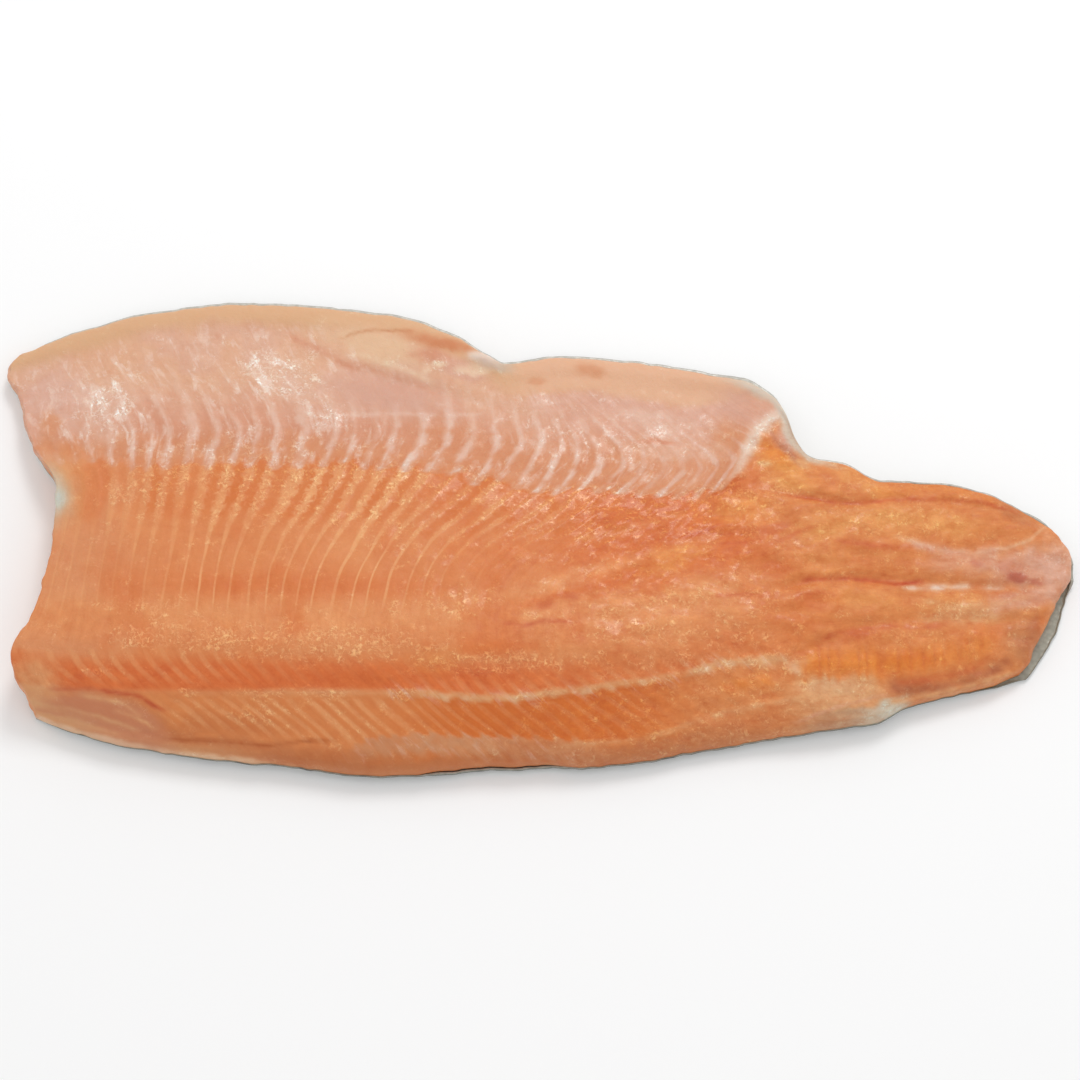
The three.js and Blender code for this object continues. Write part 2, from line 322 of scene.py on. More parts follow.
def seam(flake, width):
    """1 on the seam between two flakes. Width is a share of a flake."""
    return swell((flake + 0.5) % 1 - 0.5, width)


def lump_number(along):
    """Number of a lump in the row of them along the tail, at their own uneven pitch."""
    return along / LUMP_PITCH + 0.35 * mottle(along, 0 * along, 6, 47)


def back_fat(along, across, flake):
    """1 on the broad fat along the back, whose upper edge has a point at each flake."""
    points = BACK_FAT_POINTS * (1 - np.abs(np.sin(math.pi * flake)))
    below = line(BACK_FAT, along) + points - across
    ends = rise(along, 116, 128) * fall(along, 190, 214)
    return rise(below, -0.5, 0.8) * fall(below, 4.5, 8) * ends


def trimmed_face(along, across):
    """1 on the smooth face at the head end of the back, where the knife took the collar off."""
    return fall(across - line(TRIMMED_FACE, along), -1.5, 1.5) * fall(along, 60, 69)


def flesh_height(along, across, s, t):
    """Height of the flesh over the table, with its flakes, folds and lumps."""
    flake = flake_number(s, t)
    section_share = rise(along, 240, 290)
    section = line(BODY_SECTION, t) * (1 - section_share) + line(TAIL_SECTION, t) * section_share
    height = line(RIDGE, along) * section

    # Belly wall: a step down at the lining's edge, a lip along the rim, and a ridge at the vent
    past_vent = along - line(VENT, t)
    wall = rise(t, WALL_SHARE - 0.015, WALL_SHARE + 0.02)
    from_wall = wall_distance(along, across, flake)
    cavity = in_cavity(along, across, t, flake)
    lip = LIP_HEIGHT * swell((1 - t) * WIDTH - LIP_WIDTH, LIP_WIDTH)
    height += (lip * wall - WALL_STEP * rise(from_wall, -2, 5)) * cavity
    height += VENT_RIDGE_HEIGHT * swell(past_vent + VENT_RIDGE_WIDTH / 2, VENT_RIDGE_WIDTH) * wall

    # Pelvic fin: a swelling with a fold below it, and the fin's stub
    above_pocket = across - POCKET_AT[1] - POCKET_SLOPE * (along - POCKET_AT[0])
    fold = POCKET_FOLD_DEPTH * swell(above_pocket + POCKET_FOLD_BELOW, POCKET_FOLD_WIDTH)
    pocket = POCKET_HEIGHT * swell(above_pocket, POCKET_WIDTH) - fold
    height += pocket * swell(along - POCKET_AT[0], POCKET_LENGTH)
    height += FIN_STUB_HEIGHT * patch(along, across, *FIN_STUB)

    # Tail: three seams, and the row of lumps
    off_edge = rise(1 - t, 0, 0.1)
    for knots, depth in TAIL_SEAMS:
        height -= depth * strip(knots, along, across, TAIL_SEAM_WIDTH, 16) * off_edge
    notched = LUMP_HEIGHT - LUMP_NOTCH * seam(lump_number(along), LUMP_NOTCH_WIDTH)
    height += notched * strip(TAIL_LUMPS, along, across, LUMP_WIDTH)

    # Flakes: grooved on the loin, tiled beside the lining, and ridged on the lining
    off_rims = rise(t, 0, 0.06) * fall(t, 0.82, 0.95)
    off_tail = 1 - 0.75 * rise(along, 180, 270)
    plain = 1 - trimmed_face(along, across)
    on_crest = swell(t - CREST_SHARE, 0.05)
    near_wall = rise(from_wall, -32, -12) * (1 - cavity) * fall(along, 200, 240)
    groove = GROOVE_DEPTH * seam(flake, GROOVE_WIDTH) - FLAKE_SWELL * seam(flake + 0.5, FLAKE_SWELL_WIDTH)
    tile = (TILE_SLOPE * (0.5 - flake % 1) + TILE_EDGE * seam(flake, TILE_EDGE_WIDTH)) * near_wall
    ridge = LINING_RIDGE * seam(flake, LINING_RIDGE_WIDTH)
    height += (tile - groove * (1 - cavity)) * (1 - 0.6 * on_crest) * off_tail * off_rims * plain
    height += ridge * cavity * off_rims * off_tail * fall(from_wall, 16, 36)

    # Fat that stands out, the knife's face that lies in, and lumps that grow into bundles towards the tail
    height += SEPTUM_HEIGHT * strip(SEPTUM_STRIP, along, across, 1.6)
    height += BACK_FAT_HEIGHT * back_fat(along, across, flake)
    height += BACK_LINE_HEIGHT * strip(BACK_LINE, along, across, 1)
    height -= TRIM_DEPTH * trimmed_face(along, across) * rise(t, 0, 0.05)
    lumps = rough(along, across, (0.3, 14, 41), (0.16, 5.5, 42))
    by_vent = rise(t, 0.78, 0.92) * fall(along, 276, 290)
    towards_tail = rise(along, 170, 245) * (1 - cavity) * (1 - by_vent)
    lumps += 0.1 * mottle(along, across, 2.4, 43) * (0.6 + towards_tail)
    bundles = 0.5 * mottle(along / 2.2, across, 3.4, 44) + 0.5 * mottle(along / 1.3, across, 4.6, 46)
    lumps += (bundles + 0.14 * mottle(along, across, 1.7, 45)) * towards_tail
    return height + lumps * rise(np.minimum(t, 1 - t), 0, 0.05)


# Rim: how far the flesh rounds in above its widest line, and the body below it, at each side
SKIN_THICKNESS = 0.5
ROUND_ABOVE = {"head": 1, "tail": 2.5, "back": 3, "belly": 2.4}
ROUND_BELOW = {"head": 1.5, "tail": 4, "back": 6, "belly": 5}
WIDEST = [[0, 0.5], [0.6, 0.5], [0.95, 0.8], [1, 0.8]]

# How far the skin stands out past the flesh, as [share along, millimetres] knots
BELLY_SKIN_SHOWS = [
    [0, 0.2], [0.2, 0.5], [0.35, 0.7], [0.55, 0.7], [0.66, 1.6], [0.72, 2.5], [0.77, 5], [0.85, 6],
    [0.95, 7], [1, 7],
]
BACK_SKIN_SHOWS = [
    [0, 0], [0.26, 0.1], [0.31, 1], [0.38, 1], [0.43, 0.1], [0.8, 0.2], [0.93, 1.5], [0.97, 3.5], [1, 6],
]
TAIL_SKIN_SHOWS = [[0, 8], [0.1, 7], [0.2, 4.6], [0.3, 3], [0.42, 1.2], [0.55, 0.8], [1, 0.9]]
SLANT_TO_SKIN = 0.6
SKIN_LIES_FLAT_FROM = 2
FLAT_SKIN_EDGE = 1.2


def drawn_in(s, t, distance):
    """A grid place with the whole grid drawn in from the outline, by a distance for each side."""
    drawn_s = (distance["head"] + (LENGTH - distance["head"] - distance["tail"]) * s) / LENGTH
    drawn_t = (distance["back"] + (WIDTH - distance["back"] - distance["belly"]) * t) / WIDTH
    return drawn_s, drawn_t


def skin_shows(s, t):
    """How far the skin stands out past the flesh, at each side."""
    ragged = 1 + rough(t * WIDTH, 0 * s, (0.15, 11, 17), (0.12, 4, 18))
    return {
        "head": 0 * s, "tail": ragged * line(TAIL_SKIN_SHOWS, t),
        "back": line(BACK_SKIN_SHOWS, s), "belly": line(BELLY_SKIN_SHOWS, s),
    }


def round_below(s, t):
    """How far the body rounds in below its widest line, at each side: less where the skin lies flat."""
    shows = skin_shows(s, t)
    sizes = dict(ROUND_BELOW)
    for side in ("head", "tail", "back"):
        flat = rise(shows[side], 0, SKIN_LIES_FLAT_FROM)
        sizes[side] = sizes[side] * (1 - flat) + FLAT_SKIN_EDGE * flat
    return sizes


def widest_share(s, t):
    """Share of the height at which the rim is widest: near the top along the belly side of the tail."""
    return line(WIDEST, t) + 0.12 * rise(s, 0.66, 0.75) * rise(t, 0.6, 0.95)


def upper_round(s, t, angle):
    """Places on the upper round of the flesh's rim, and their share of the height: 0 degrees is on top."""
    turn = math.radians(angle)
    shows = skin_shows(s, t)
    distance = {}
    for side, size in ROUND_ABOVE.items():
        slant = size + SLANT_TO_SKIN * np.maximum(shows[side] - SKIN_LIES_FLAT_FROM, 0)
        distance[side] = SKIN_THICKNESS + shows[side] + slant * (1 - math.sin(turn))
    widest = widest_share(s, t)
    return *drawn_in(s, t, distance), widest + (1 - widest) * math.cos(turn), 0 * s


def lower_round(s, t, angle):
    """The same on the lower round, down to the skin at 90 degrees, with the lift that the skin gives."""
    turn = math.radians(angle)
    shows = skin_shows(s, t)
    distance = {}
    for side, size in round_below(s, t).items():
        at_widest = SKIN_THICKNESS + shows[side]
        at_skin = np.maximum(size, shows[side] + 1)
        distance[side] = at_widest * math.cos(turn) + at_skin * (1 - math.cos(turn))
    height_share = widest_share(s, t) * (1 - math.sin(turn))
    return *drawn_in(s, t, distance), height_share, 0 * s + SKIN_THICKNESS * math.sin(turn)


def grid_shares(columns, rows):
    """Shares along and across of every place of a grid, row by row."""
    s, t = np.meshgrid(np.linspace(0, 1, columns), np.linspace(0, 1, rows))
    return s.ravel(), t.ravel()


def rim_order(columns, rows):
    """Numbers of the grid's places round the rim, counterclockwise seen from above."""
    grid = np.arange(rows * columns).reshape(rows, columns)
    return np.concatenate([grid[0, :-1], grid[:-1, -1], grid[-1, :0:-1], grid[:0:-1, 0]])


def grid_faces(columns, rows, first=0):
    """Faces of a grid of places, from the number of its first place."""
    grid = np.arange(rows * columns).reshape(rows, columns) + first
    return np.stack([grid[:-1, :-1], grid[:-1, 1:], grid[1:, 1:], grid[1:, :-1]], -1).reshape(-1, 4)


def ring_faces(rings):
    """Faces between rings of places, each ring outside or below the one before."""
    faces = []
    for upper, lower in zip(rings, rings[1:]):
        faces += np.stack([upper, lower, np.roll(lower, -1), np.roll(upper, -1)], -1).tolist()
    return faces


def end_sign(share):
    """-1 at the start of a share, 1 at its end, and 0 between them."""
    return (share == 1) * 1 - (share == 0)


def flat_map(s, t, ring_number, ring_count, points, faces, top_corners):
    """Places of face corners on a flat map: the grid, its rings round it, and the underside beside it."""
    border = RING_MAP * (ring_count + 2)
    upper_x = border + LENGTH * s + RING_MAP * ring_number * end_sign(s)
    upper_y = border + WIDTH * t + RING_MAP * ring_number * end_sign(t)
    lower_x = points[:, 0] + border
    lower_y = points[:, 1] - points[:, 1].min() + WIDTH + 2 * border
    corners = np.concatenate([np.ravel(face) for face in faces])
    upper = np.stack([upper_x, upper_y], -1)[corners[:top_corners]]
    lower = np.stack([lower_x, lower_y], -1)[corners[top_corners:]]
    return np.concatenate([upper, lower]) / (LENGTH + 2 * border)


def put_in_scene(name, data):
    """A new object in the scene, from its mesh, lamp or camera."""
    thing = bpy.data.objects.new(name, data)
    bpy.context.scene.collection.objects.link(thing)
    return thing


def make_piece(name, points, faces, map_places):
    """A smooth mesh object from points in millimetres, with a flat map of its surface for painting."""
    mesh = bpy.data.meshes.new(name)
    mesh.from_pydata(((points - [middle_along, middle_across, 0]) * MM).tolist(), [], faces)
    mesh.polygons.foreach_set("use_smooth", np.ones(len(faces), bool))
    surface_map = mesh.uv_layers.new(name="OFBake")
    surface_map.data.foreach_set("uv", map_places.ravel())
    return put_in_scene(name, mesh)


def store(piece, name, values, kind="FLOAT"):
    """Keeps a number, a vector or a colour for each point of a piece, for its material to read."""
    slot = {"FLOAT": "value", "FLOAT_VECTOR": "vector", "FLOAT_COLOR": "color"}[kind]
    attribute = piece.data.attributes.new(name, kind, "POINT")
    attribute.data.foreach_set(slot, values.astype(np.float32).ravel())


# Grid of the cut face, then the rings of the rim down to the skin, then the side that lies on the skin
FLESH_COLUMNS = FLAKES * 7 + 1
FLESH_ROWS = 180
RIM_ANGLES = range(9, 91, 9)
UNDER_ANGLES = (15, 30, 45, 60, 90)
RING_MAP = 1.7

grid_s, grid_t = grid_shares(FLESH_COLUMNS, FLESH_ROWS)
rim = rim_order(FLESH_COLUMNS, FLESH_ROWS)
layers = [upper_round(grid_s, grid_t, 0)]
layers += [upper_round(grid_s[rim], grid_t[rim], angle) for angle in RIM_ANGLES]
layers += [lower_round(grid_s[rim], grid_t[rim], angle) for angle in UNDER_ANGLES]

s = np.concatenate([layer[0] for layer in layers])
t = np.concatenate([layer[1] for layer in layers])
height_share = np.concatenate([layer[2] for layer in layers])
lift = np.concatenate([layer[3] for layer in layers])
along, across = plan(s, t)
up = flesh_height(along, across, s, t) * height_share + lift

# Which side of the grid a place comes from, and how many rings below the cut face it is
grid_count = len(grid_s)
ring_count = len(layers) - 1
side_s = np.concatenate([grid_s, np.tile(grid_s[rim], ring_count)])
side_t = np.concatenate([grid_t, np.tile(grid_t[rim], ring_count)])
ring_number = np.concatenate([np.zeros(grid_count), np.repeat(np.arange(1, ring_count + 1), len(rim))])

# Head cut: the flakes in section, nested round the middles of the loin, the flank and the belly flap
LOBES = [((-44, 10), 1.6), ((-4, 8), 2.8), ((48, 3), 6)]
LOBE_FLAKE = 3.1
on_head_cut = (side_s == 0) & (ring_number > 1)
nested = np.min([np.hypot((across - x) / stretch, up - z) for (x, z), stretch in LOBES], axis=0)
nested = nested / LOBE_FLAKE + rough(across, up, (0.5, 7, 15), (0.15, 2, 19))
cut_relief = 0.4 * mottle(across, up, 3.5, 16) + 0.3 * seam(nested, 0.2)
along += on_head_cut * cut_relief * rise(up, 1, 4)

outline_along, outline_across = plan(grid_s[rim], grid_t[rim])
middle_along = (outline_along.min() + outline_along.max()) / 2
middle_across = (outline_across.min() + outline_across.max()) / 2
flesh_points = np.stack([along, across, up], -1)

rings = [rim] + [grid_count + len(rim) * k + np.arange(len(rim)) for k in range(ring_count)]
flesh_faces = grid_faces(FLESH_COLUMNS, FLESH_ROWS).tolist() + ring_faces(rings)
top_corners = sum(map(len, flesh_faces))
last_ring = rings[-1]
underside = tessellate_polygon([[Vector(flesh_points[k]) for k in last_ring]])
first, second, third = flesh_points[last_ring[list(underside[0])], :2]
faces_up = np.cross(second - first, third - first) > 0
for corners in underside:
    a, b, c = (int(last_ring[k]) for k in corners)
    flesh_faces.append([a, c, b] if faces_up else [a, b, c])

flesh_map = flat_map(side_s, side_t, ring_number, ring_count, flesh_points, flesh_faces, top_corners)
flesh = make_piece("flesh", flesh_points, flesh_faces, flesh_map)

# Colours of the flesh, as red, green and blue out of 255
FLANK_ORANGE = (219, 137, 87)
FLANK_PALE = (227, 153, 102)
FLANK_ROSE = (217, 147, 105)
FLANK_DEEP = (213, 114, 63)
YELLOW_ORANGE = (229, 152, 86)
LOIN_DARK = (219, 115, 65)
BACK_ORANGE = (216, 135, 83)
BACK_DEEP = (211, 109, 51)
SHADED_BROWN = (193, 120, 78)
BACK_RUST = (187, 107, 64)
BACK_BEIGE = (214, 160, 116)
BACK_CREASE = (174, 92, 54)
BACK_FAT_BEIGE = (205, 143, 103)
LINING_BEIGE = (224, 174, 142)
LINING_PINK = (218, 164, 139)
LINING_LILAC = (220, 175, 157)
LINING_STRIPE = (230, 194, 175)
LINING_ROSE = (212, 148, 118)
TONGUE_ORANGE = (215, 142, 98)
RIM_BEIGE = (221, 174, 135)
RIM_ORANGE = (227, 178, 145)
POCKET_CREAM = (230, 190, 155)
GREY_ROSE = (214, 164, 143)
FAT_CREAM = (235, 204, 173)
FAT_PEACH = (221, 164, 117)
FAT_BROWN = (190, 142, 108)
FAT_GREY = (208, 200, 182)
MEMBRANE_WHITE = (230, 208, 192)
GREY_WHITE = (212, 197, 180)
HEAD_FAT = (196, 203, 194)
BLOOD_RED = (190, 82, 54)
SEAM_RED = (203, 104, 64)
WEDGE_ORANGE = (206, 133, 92)
TRIMMED_ROSE = (200, 131, 98)
DARK_MUSCLE = (150, 92, 68)
STUB_GREY = (203, 178, 156)
BRUISE_RED = (178, 88, 70)
TAIL_ORANGE = (217, 134, 80)
TAIL_GOLD = (233, 163, 98)
TAIL_BRIGHT = (226, 135, 64)
TAIL_PINK = (216, 160, 135)
TAIL_BROWN = (194, 129, 90)
TAIL_RUST = (183, 111, 77)

flake = flake_number(s, t)
from_midline = across - line(MIDLINE, along)
from_septum = across - line(SEPTUM, along)
from_back = across - line(BACK_EDGE, along)
from_belly = line(BELLY_EDGE, along) - across
from_wall = wall_distance(along, across, flake)
cavity = in_cavity(along, across, t, flake)
in_tail = rise(along, 245, 285)
trimmed = trimmed_face(along, across)
cloud = rough(along, across, (0.6, 17, 51), (0.4, 7, 52))
fleck = rough(along, across, (0.6, 3.2, 53), (0.4, 1.6, 54))
ragged_along = along + rough(along, across, (1.1, 6, 55), (0.6, 2.3, 56))
ragged_across = across + rough(along, across, (0.8, 6, 57), (0.5, 2.3, 58))

flesh_tint = np.tile(np.array(FLANK_ORANGE, float), (len(s), 1))


def past(start, stop):
    """1 on the tail's side of two places along the fillet, 0 on the head's side, smooth between them."""
    return rise(along, start, stop)


def before(start, stop):
    """1 on the head's side of two places along the fillet, 0 on the tail's side, smooth between them."""
    return fall(along, start, stop)


def lay(colour, cover, tint=flesh_tint):
    """Lays a colour over what is painted so far, where cover is 1."""
    tint += (np.array(colour) - tint) * np.clip(cover, 0, 1)[:, None]


def lay_patches(rows):
    """Lays ragged ovals. A row is a colour and its ovals: cover, along, across, half sizes and slope."""
    for colour, *patches in rows:
        for cover, *oval in patches:
            shape = patch(ragged_along, ragged_across, *oval) * (1 + 0.35 * fleck)
            lay(colour, cover * rise(shape, 0.05, 0.9))


def lay_streaks(streaks):
    """Lays strips along lines, broken here and there: colour, cover, half width, line."""
    broken = np.clip(0.8 + 0.55 * fleck + 0.35 * cloud, 0, 1.2)
    for colour, cover, half_width, knots in streaks:
        lay(colour, cover * broken * strip(knots, along, 0.6 * across + 0.4 * ragged_across, half_width))


# Each layer has a colour and its cover, from 0 to 1, which fades between places in millimetres

# Flank and loin: paler by the midline, deeper towards the tail, dark along the loin's slope
lay(FLANK_ROSE, 0.7 * fall(along + 8 * cloud, 28, 66))
lay(FLANK_PALE, 0.65 * swell(from_midline - 1, 6))
lay(FLANK_PALE, 0.45 * rise(cloud, 0.05, 0.6))
lay(FLANK_DEEP, 0.5 * swell(from_midline - 11, 5) * past(50, 80) * before(130, 170))
lay(FLANK_DEEP, 0.9 * past(165, 215) * rise(from_midline, 6, 16) * before(245, 270))
lay(FLANK_DEEP, 0.45 * rise(-cloud, 0.1, 0.6))
in_dark_band = rise(from_septum, -0.5, 2) * fall(from_septum, 6, 13)
lay(LOIN_DARK, 0.9 * in_dark_band * (1 - 0.55 * past(160, 235)))
lay(BACK_ORANGE, 0.95 * fall(from_septum, -1.5, 1))
lay(BACK_DEEP, 0.8 * fall(from_septum, -1.5, 1) * past(125, 165) * before(205, 245))
# Painted shade: the last few millimetres by the back edge, whose rim faces away from the lamp, are painted
# a darker brown
lay(SHADED_BROWN, 0.75 * fall(from_back + 2 * fleck, 3, 8) * (1 - in_tail))
lay(BACK_BEIGE, 0.7 * fall(from_back + 1.5 * cloud, 1, 5) * (1 - 0.8 * past(60, 100)))
lay_streaks([
    (FLANK_PALE, 0.7, 3.2, [[160, -26], [184, -20], [211, -11], [244, -2]]),
    (FLANK_PALE, 0.6, 1.6, [[196, -3], [214, 2], [232, 8]]),
    (FLANK_DEEP, 0.7, 1.6, [[178, -27], [196, -22], [214, -16], [236, -9]]),
    (FLANK_DEEP, 0.6, 1.3, [[200, -25], [209, -20], [219, -13], [236, -5]]),
    (FLANK_DEEP, 0.6, 1.2, [[206, 6], [222, 8], [240, 11]]),
    (BLOOD_RED, 0.7, 0.8, [[172, -33.6], [178, -33.9], [183, -33.3]]),
    (BLOOD_RED, 0.8, 0.8, [[182, -33], [188, -32.6], [194, -32.8]]),
    (BLOOD_RED, 0.5, 0.9, [[242, -22.5], [250, -21.9], [260, -21.9]]),
    (BLOOD_RED, 0.6, 1.0, [[232, -0.3], [239, 1], [245, 4.7]]),
    (BLOOD_RED, 0.5, 0.8, [[244, -3.9], [251, -3.3], [258, -2.2]]),
])
lay_patches([
    (SEAM_RED, (0.6, 186, -26.8, 3.6, 2, 10), (0.5, 194, -24.3, 2.8, 1.6)),
    (FLANK_PALE, (0.6, 190, -43, 1.2, 7)),
    (YELLOW_ORANGE, (0.6, 228, -10, 12, 5, 25), (0.6, 252, 10, 12, 6)),
    (FLANK_DEEP, (0.5, 222, -20, 9, 4, 20)),
    (FLANK_PALE, (0.5, 212, -42, 28, 5, 4)),
    (FLANK_ORANGE, (0.6, 35, -32, 22, 7)),
    (FLANK_DEEP, (0.6, 127, -51.5, 12, 2.5)),
    (YELLOW_ORANGE, (0.35, 150, -47, 8, 4)),
    (FLANK_DEEP, (0.5, 172, -42, 12, 3), (0.4, 206, -46, 10, 3, 8)),
])

# Tail: bundles of muscle in gold and red orange, a cream wedge of fat below them, and a pink end
lay(TAIL_ORANGE, 0.85 * in_tail)
lay_patches([
    (TAIL_GOLD, (0.55, 281, 3, 10, 6, 15), (0.65, 302, 7, 12, 5, 5), (0.7, 323, 5, 11, 5, -8),
     (0.55, 292, 20, 12, 4, -25), (0.8, 268, 20, 8, 4, -20), (0.25, 276, -10, 9, 3.5, -4),
     (0.4, 291, -22, 13, 4), (0.4, 322, -22, 15, 4, 4)),
    (FAT_PEACH, (0.65, 327, -26.5, 13, 4)),
    (FLANK_DEEP, (0.35, 276, -23, 8, 3.5, 10), (0.25, 272, -32, 8, 2.5, 25)),
    (TAIL_GOLD, (0.2, 296, -8, 17, 3.5, -3)),
    (FLANK_DEEP, (0.25, 290, -36, 9, 2.5, 12), (0.3, 334, -33, 12, 3, 8), (0.5, 262, -12, 9, 3, 15)),
    (TAIL_PINK, (0.5, 324, -9, 12, 4.5)),
    (SEAM_RED, (0.25, 274, -22, 6, 2.4, 10), (0.2, 300, -8.5, 12, 2, -3), (0.4, 262, 2, 7, 2, 18),
     (0.4, 288, -35, 6, 1.6, 15)),
    (TAIL_PINK, (0.8, 350, -10, 22, 8), (0.8, 345, -21, 14, 4, 12)),
    (LINING_LILAC, (0.5, 358, -9, 10, 13)),
    (BRUISE_RED, (0.22, 341.5, -10, 4.4, 3.2, 15), (0.62, 344, -13.2, 3.4, 1.6, -12),
     (0.5, 350.5, -14.6, 2.6, 1.3, 5), (0.3, 330, -9, 2.6, 2)),
    (TAIL_BROWN, (0.7, 344, -35, 7, 8, -25)),
    (TAIL_RUST, (0.5, 347, -33, 2.4, 8, -22)),
    (FAT_CREAM, (0.55, 269, -46, 5, 2.2, -25)),
    (TAIL_BROWN, (0.5, 344, 10, 9, 4, -35)),
])
lump = lump_number(along)
scallops = 1.6 * np.abs(np.sin(math.pi * lump))
on_wedge = rise(line(FAT_WEDGE, along) - ragged_across + scallops, -0.5, 2.5)
on_wedge *= rise(along + 4 * cloud, 262, 276) * fall(along + 0.7 * across + 4 * cloud, 256, 270)
lay(FAT_PEACH, 0.85 * on_wedge)
lay(FAT_CREAM, 0.3 * on_wedge * patch(along, across, 279, -50, 11, 4, -8))
on_fat_edge = rise(line(FAT_EDGE, along) - ragged_across, -0.8, 1.2) * past(262, 280) * before(303, 309)
lay(FAT_BROWN, 0.8 * on_fat_edge)
lay(FAT_GREY, 0.9 * on_fat_edge * rise(along + 4 * cloud, 280, 302))
on_lumps = strip(TAIL_LUMPS, along, across - scallops + 0.8, LUMP_WIDTH) * (1 - 0.5 * past(304, 324))
lay(TAIL_BRIGHT, 0.95 * on_lumps)
lay(SEAM_RED, 0.35 * on_lumps * seam(lump, 0.14))
lay_streaks([
    (TAIL_PINK, 0.6, 0.6, [[268, -63], [284, -57.4], [298, -54]]),
    (TAIL_BRIGHT, 0.4, 2.6, [[296, 17], [316, 18.5], [330, 17], [340, 13]]),
    (SEAM_RED, 0.75, 0.9, [[268, 14.2], [290, 11.9], [304, 14], [330, 13.9], [345, 10.3]]),
    (SEAM_RED, 0.6, 1.0, [[262, -3], [269, 0.2], [276, 3]]),
    (SEAM_RED, 0.6, 1.2, [[284, -1.8], [298, -3.3], [310, -3.6]]),
    (FAT_CREAM, 0.5, 0.8, [
        [304, 0.5], [311, -1.6], [320, -4.1], [332, -4.5], [341, -2.5], [348, -0.2], [354, 4.9],
    ]),
    (TAIL_PINK, 0.7, 1.8, [[308, -1.4], [317, -4], [325, -4.6], [338, -3.6]]),
    (BLOOD_RED, 0.85, 0.9, [[271, -16], [290, -14.8], [304, -16], [312, -15]]),
    (MEMBRANE_WHITE, 0.9, 0.9, [[306, -17.6], [309, -17.5], [312.5, -17.3]]),
    (MEMBRANE_WHITE, 1.0, 1.3, [[313.5, -16.7], [320, -16.9], [328, -16.4]]),
    (MEMBRANE_WHITE, 0.7, 0.9, [[332, -16.5], [335, -16.5], [339, -16.4]]),
    (FAT_PEACH, 0.7, 1.1, [[312, -22], [324, -23.6], [336, -22.6], [348, -19.5]]),
    (FAT_PEACH, 0.6, 1.0, [[310, -28], [324, -28.4], [336, -26.4]]),
    (SEAM_RED, 0.75, 0.9, [[276, -36.6], [287, -32.9], [297, -31.6], [317, -30.5]]),
    (TAIL_RUST, 0.9, 2.8, [[299, -51.5], [308, -51.8], [320, -50], [331, -46], [340, -41.5]]),
    (SEAM_RED, 0.6, 1.2, [[302, -50], [310, -49], [322, -46.5], [332, -42]]),
    (FAT_PEACH, 0.75, 1.2, [[299, -56], [313, -53.4], [326, -50.2], [342, -44.9]]),
])

# Belly wall: pink lining in stripes that follow the flakes, with orange tongues, and a smooth beige rim
RIM_WIDTH = [[0, 8], [50, 9.5], [115, 9], [165, 9], [185, 14.5], [235, 15], [250, 10], [262, 9], [272, 5]]
stripe_strength = 0.8 + 0.45 * mottle(np.floor(flake + 0.5), t * 9, 1, 61)
stripe = stripe_strength * rise(np.cos(2 * math.pi * flake) + 0.6 * fleck + 0.3 * cloud, 0.2, 1.05)
striped = fall(from_wall + 8 * cloud, 18, 40) * past(18, 40) * (1 - 0.5 * past(200, 240))
lay(LINING_PINK, cavity)
lay(LINING_BEIGE, cavity * 0.85 * rise(from_wall + 7 * cloud, 14, 34) * before(165, 200))
lay(LINING_LILAC, cavity * 0.4 * rise(cloud, 0, 0.5))
lay(LINING_ROSE, cavity * striped * (1 - stripe) * fall(from_wall, 8, 28))
tongues = 0.75 * fall(from_wall + 4 * fleck, 1, 15)
tongues = np.maximum(tongues, 0.6 * past(125, 155) * fall(from_wall + 4 * fleck, 10, 27))
lay(TONGUE_ORANGE, cavity * (1 - stripe) * tongues)
lay(LINING_STRIPE, cavity * striped * stripe * (0.6 + 0.12 * past(90, 140)) * rise(from_wall, 0, 5))
# Painted highlights: white at the ends of the stripes along the lining's ragged edge, where the scallops
# catch the light
stripe_end_glints = stripe * swell(from_wall - 2, 2.4) * past(100, 130) * before(212, 235)
lay(MEMBRANE_WHITE, 0.6 * cavity * stripe_end_glints * rise(fleck, -0.2, 0.4))
beside_rim = from_belly + 2 * cloud + 0.8 * fleck - line(RIM_WIDTH, along)
rim_share = cavity * fall(beside_rim, -3, 3)
lay(RIM_BEIGE, rim_share)
lay(RIM_ORANGE, rim_share * past(165, 185))
lay_patches([
    (LINING_LILAC, (0.8, 17, 53, 12, 12)),
    (TONGUE_ORANGE, (0.6, 17, 41, 3, 7), (0.6, 25, 31, 6, 3)),
    (LINING_STRIPE, (0.5, 36, 46, 11, 13), (0.4, 228, 34, 14, 7), (0.3, 95, 60, 16, 9, -18),
     (0.5, 223, 44, 14, 4, -8), (0.45, 244, 32, 6, 4, 20)),
    (WEDGE_ORANGE, (0.5, 202, 62.4, 5.5, 2.6, -5), (0.4, 183, 57.7, 4, 1.4)),
    (SEAM_RED, (0.35, 224, 35.5, 7, 1.1, 3)),
])

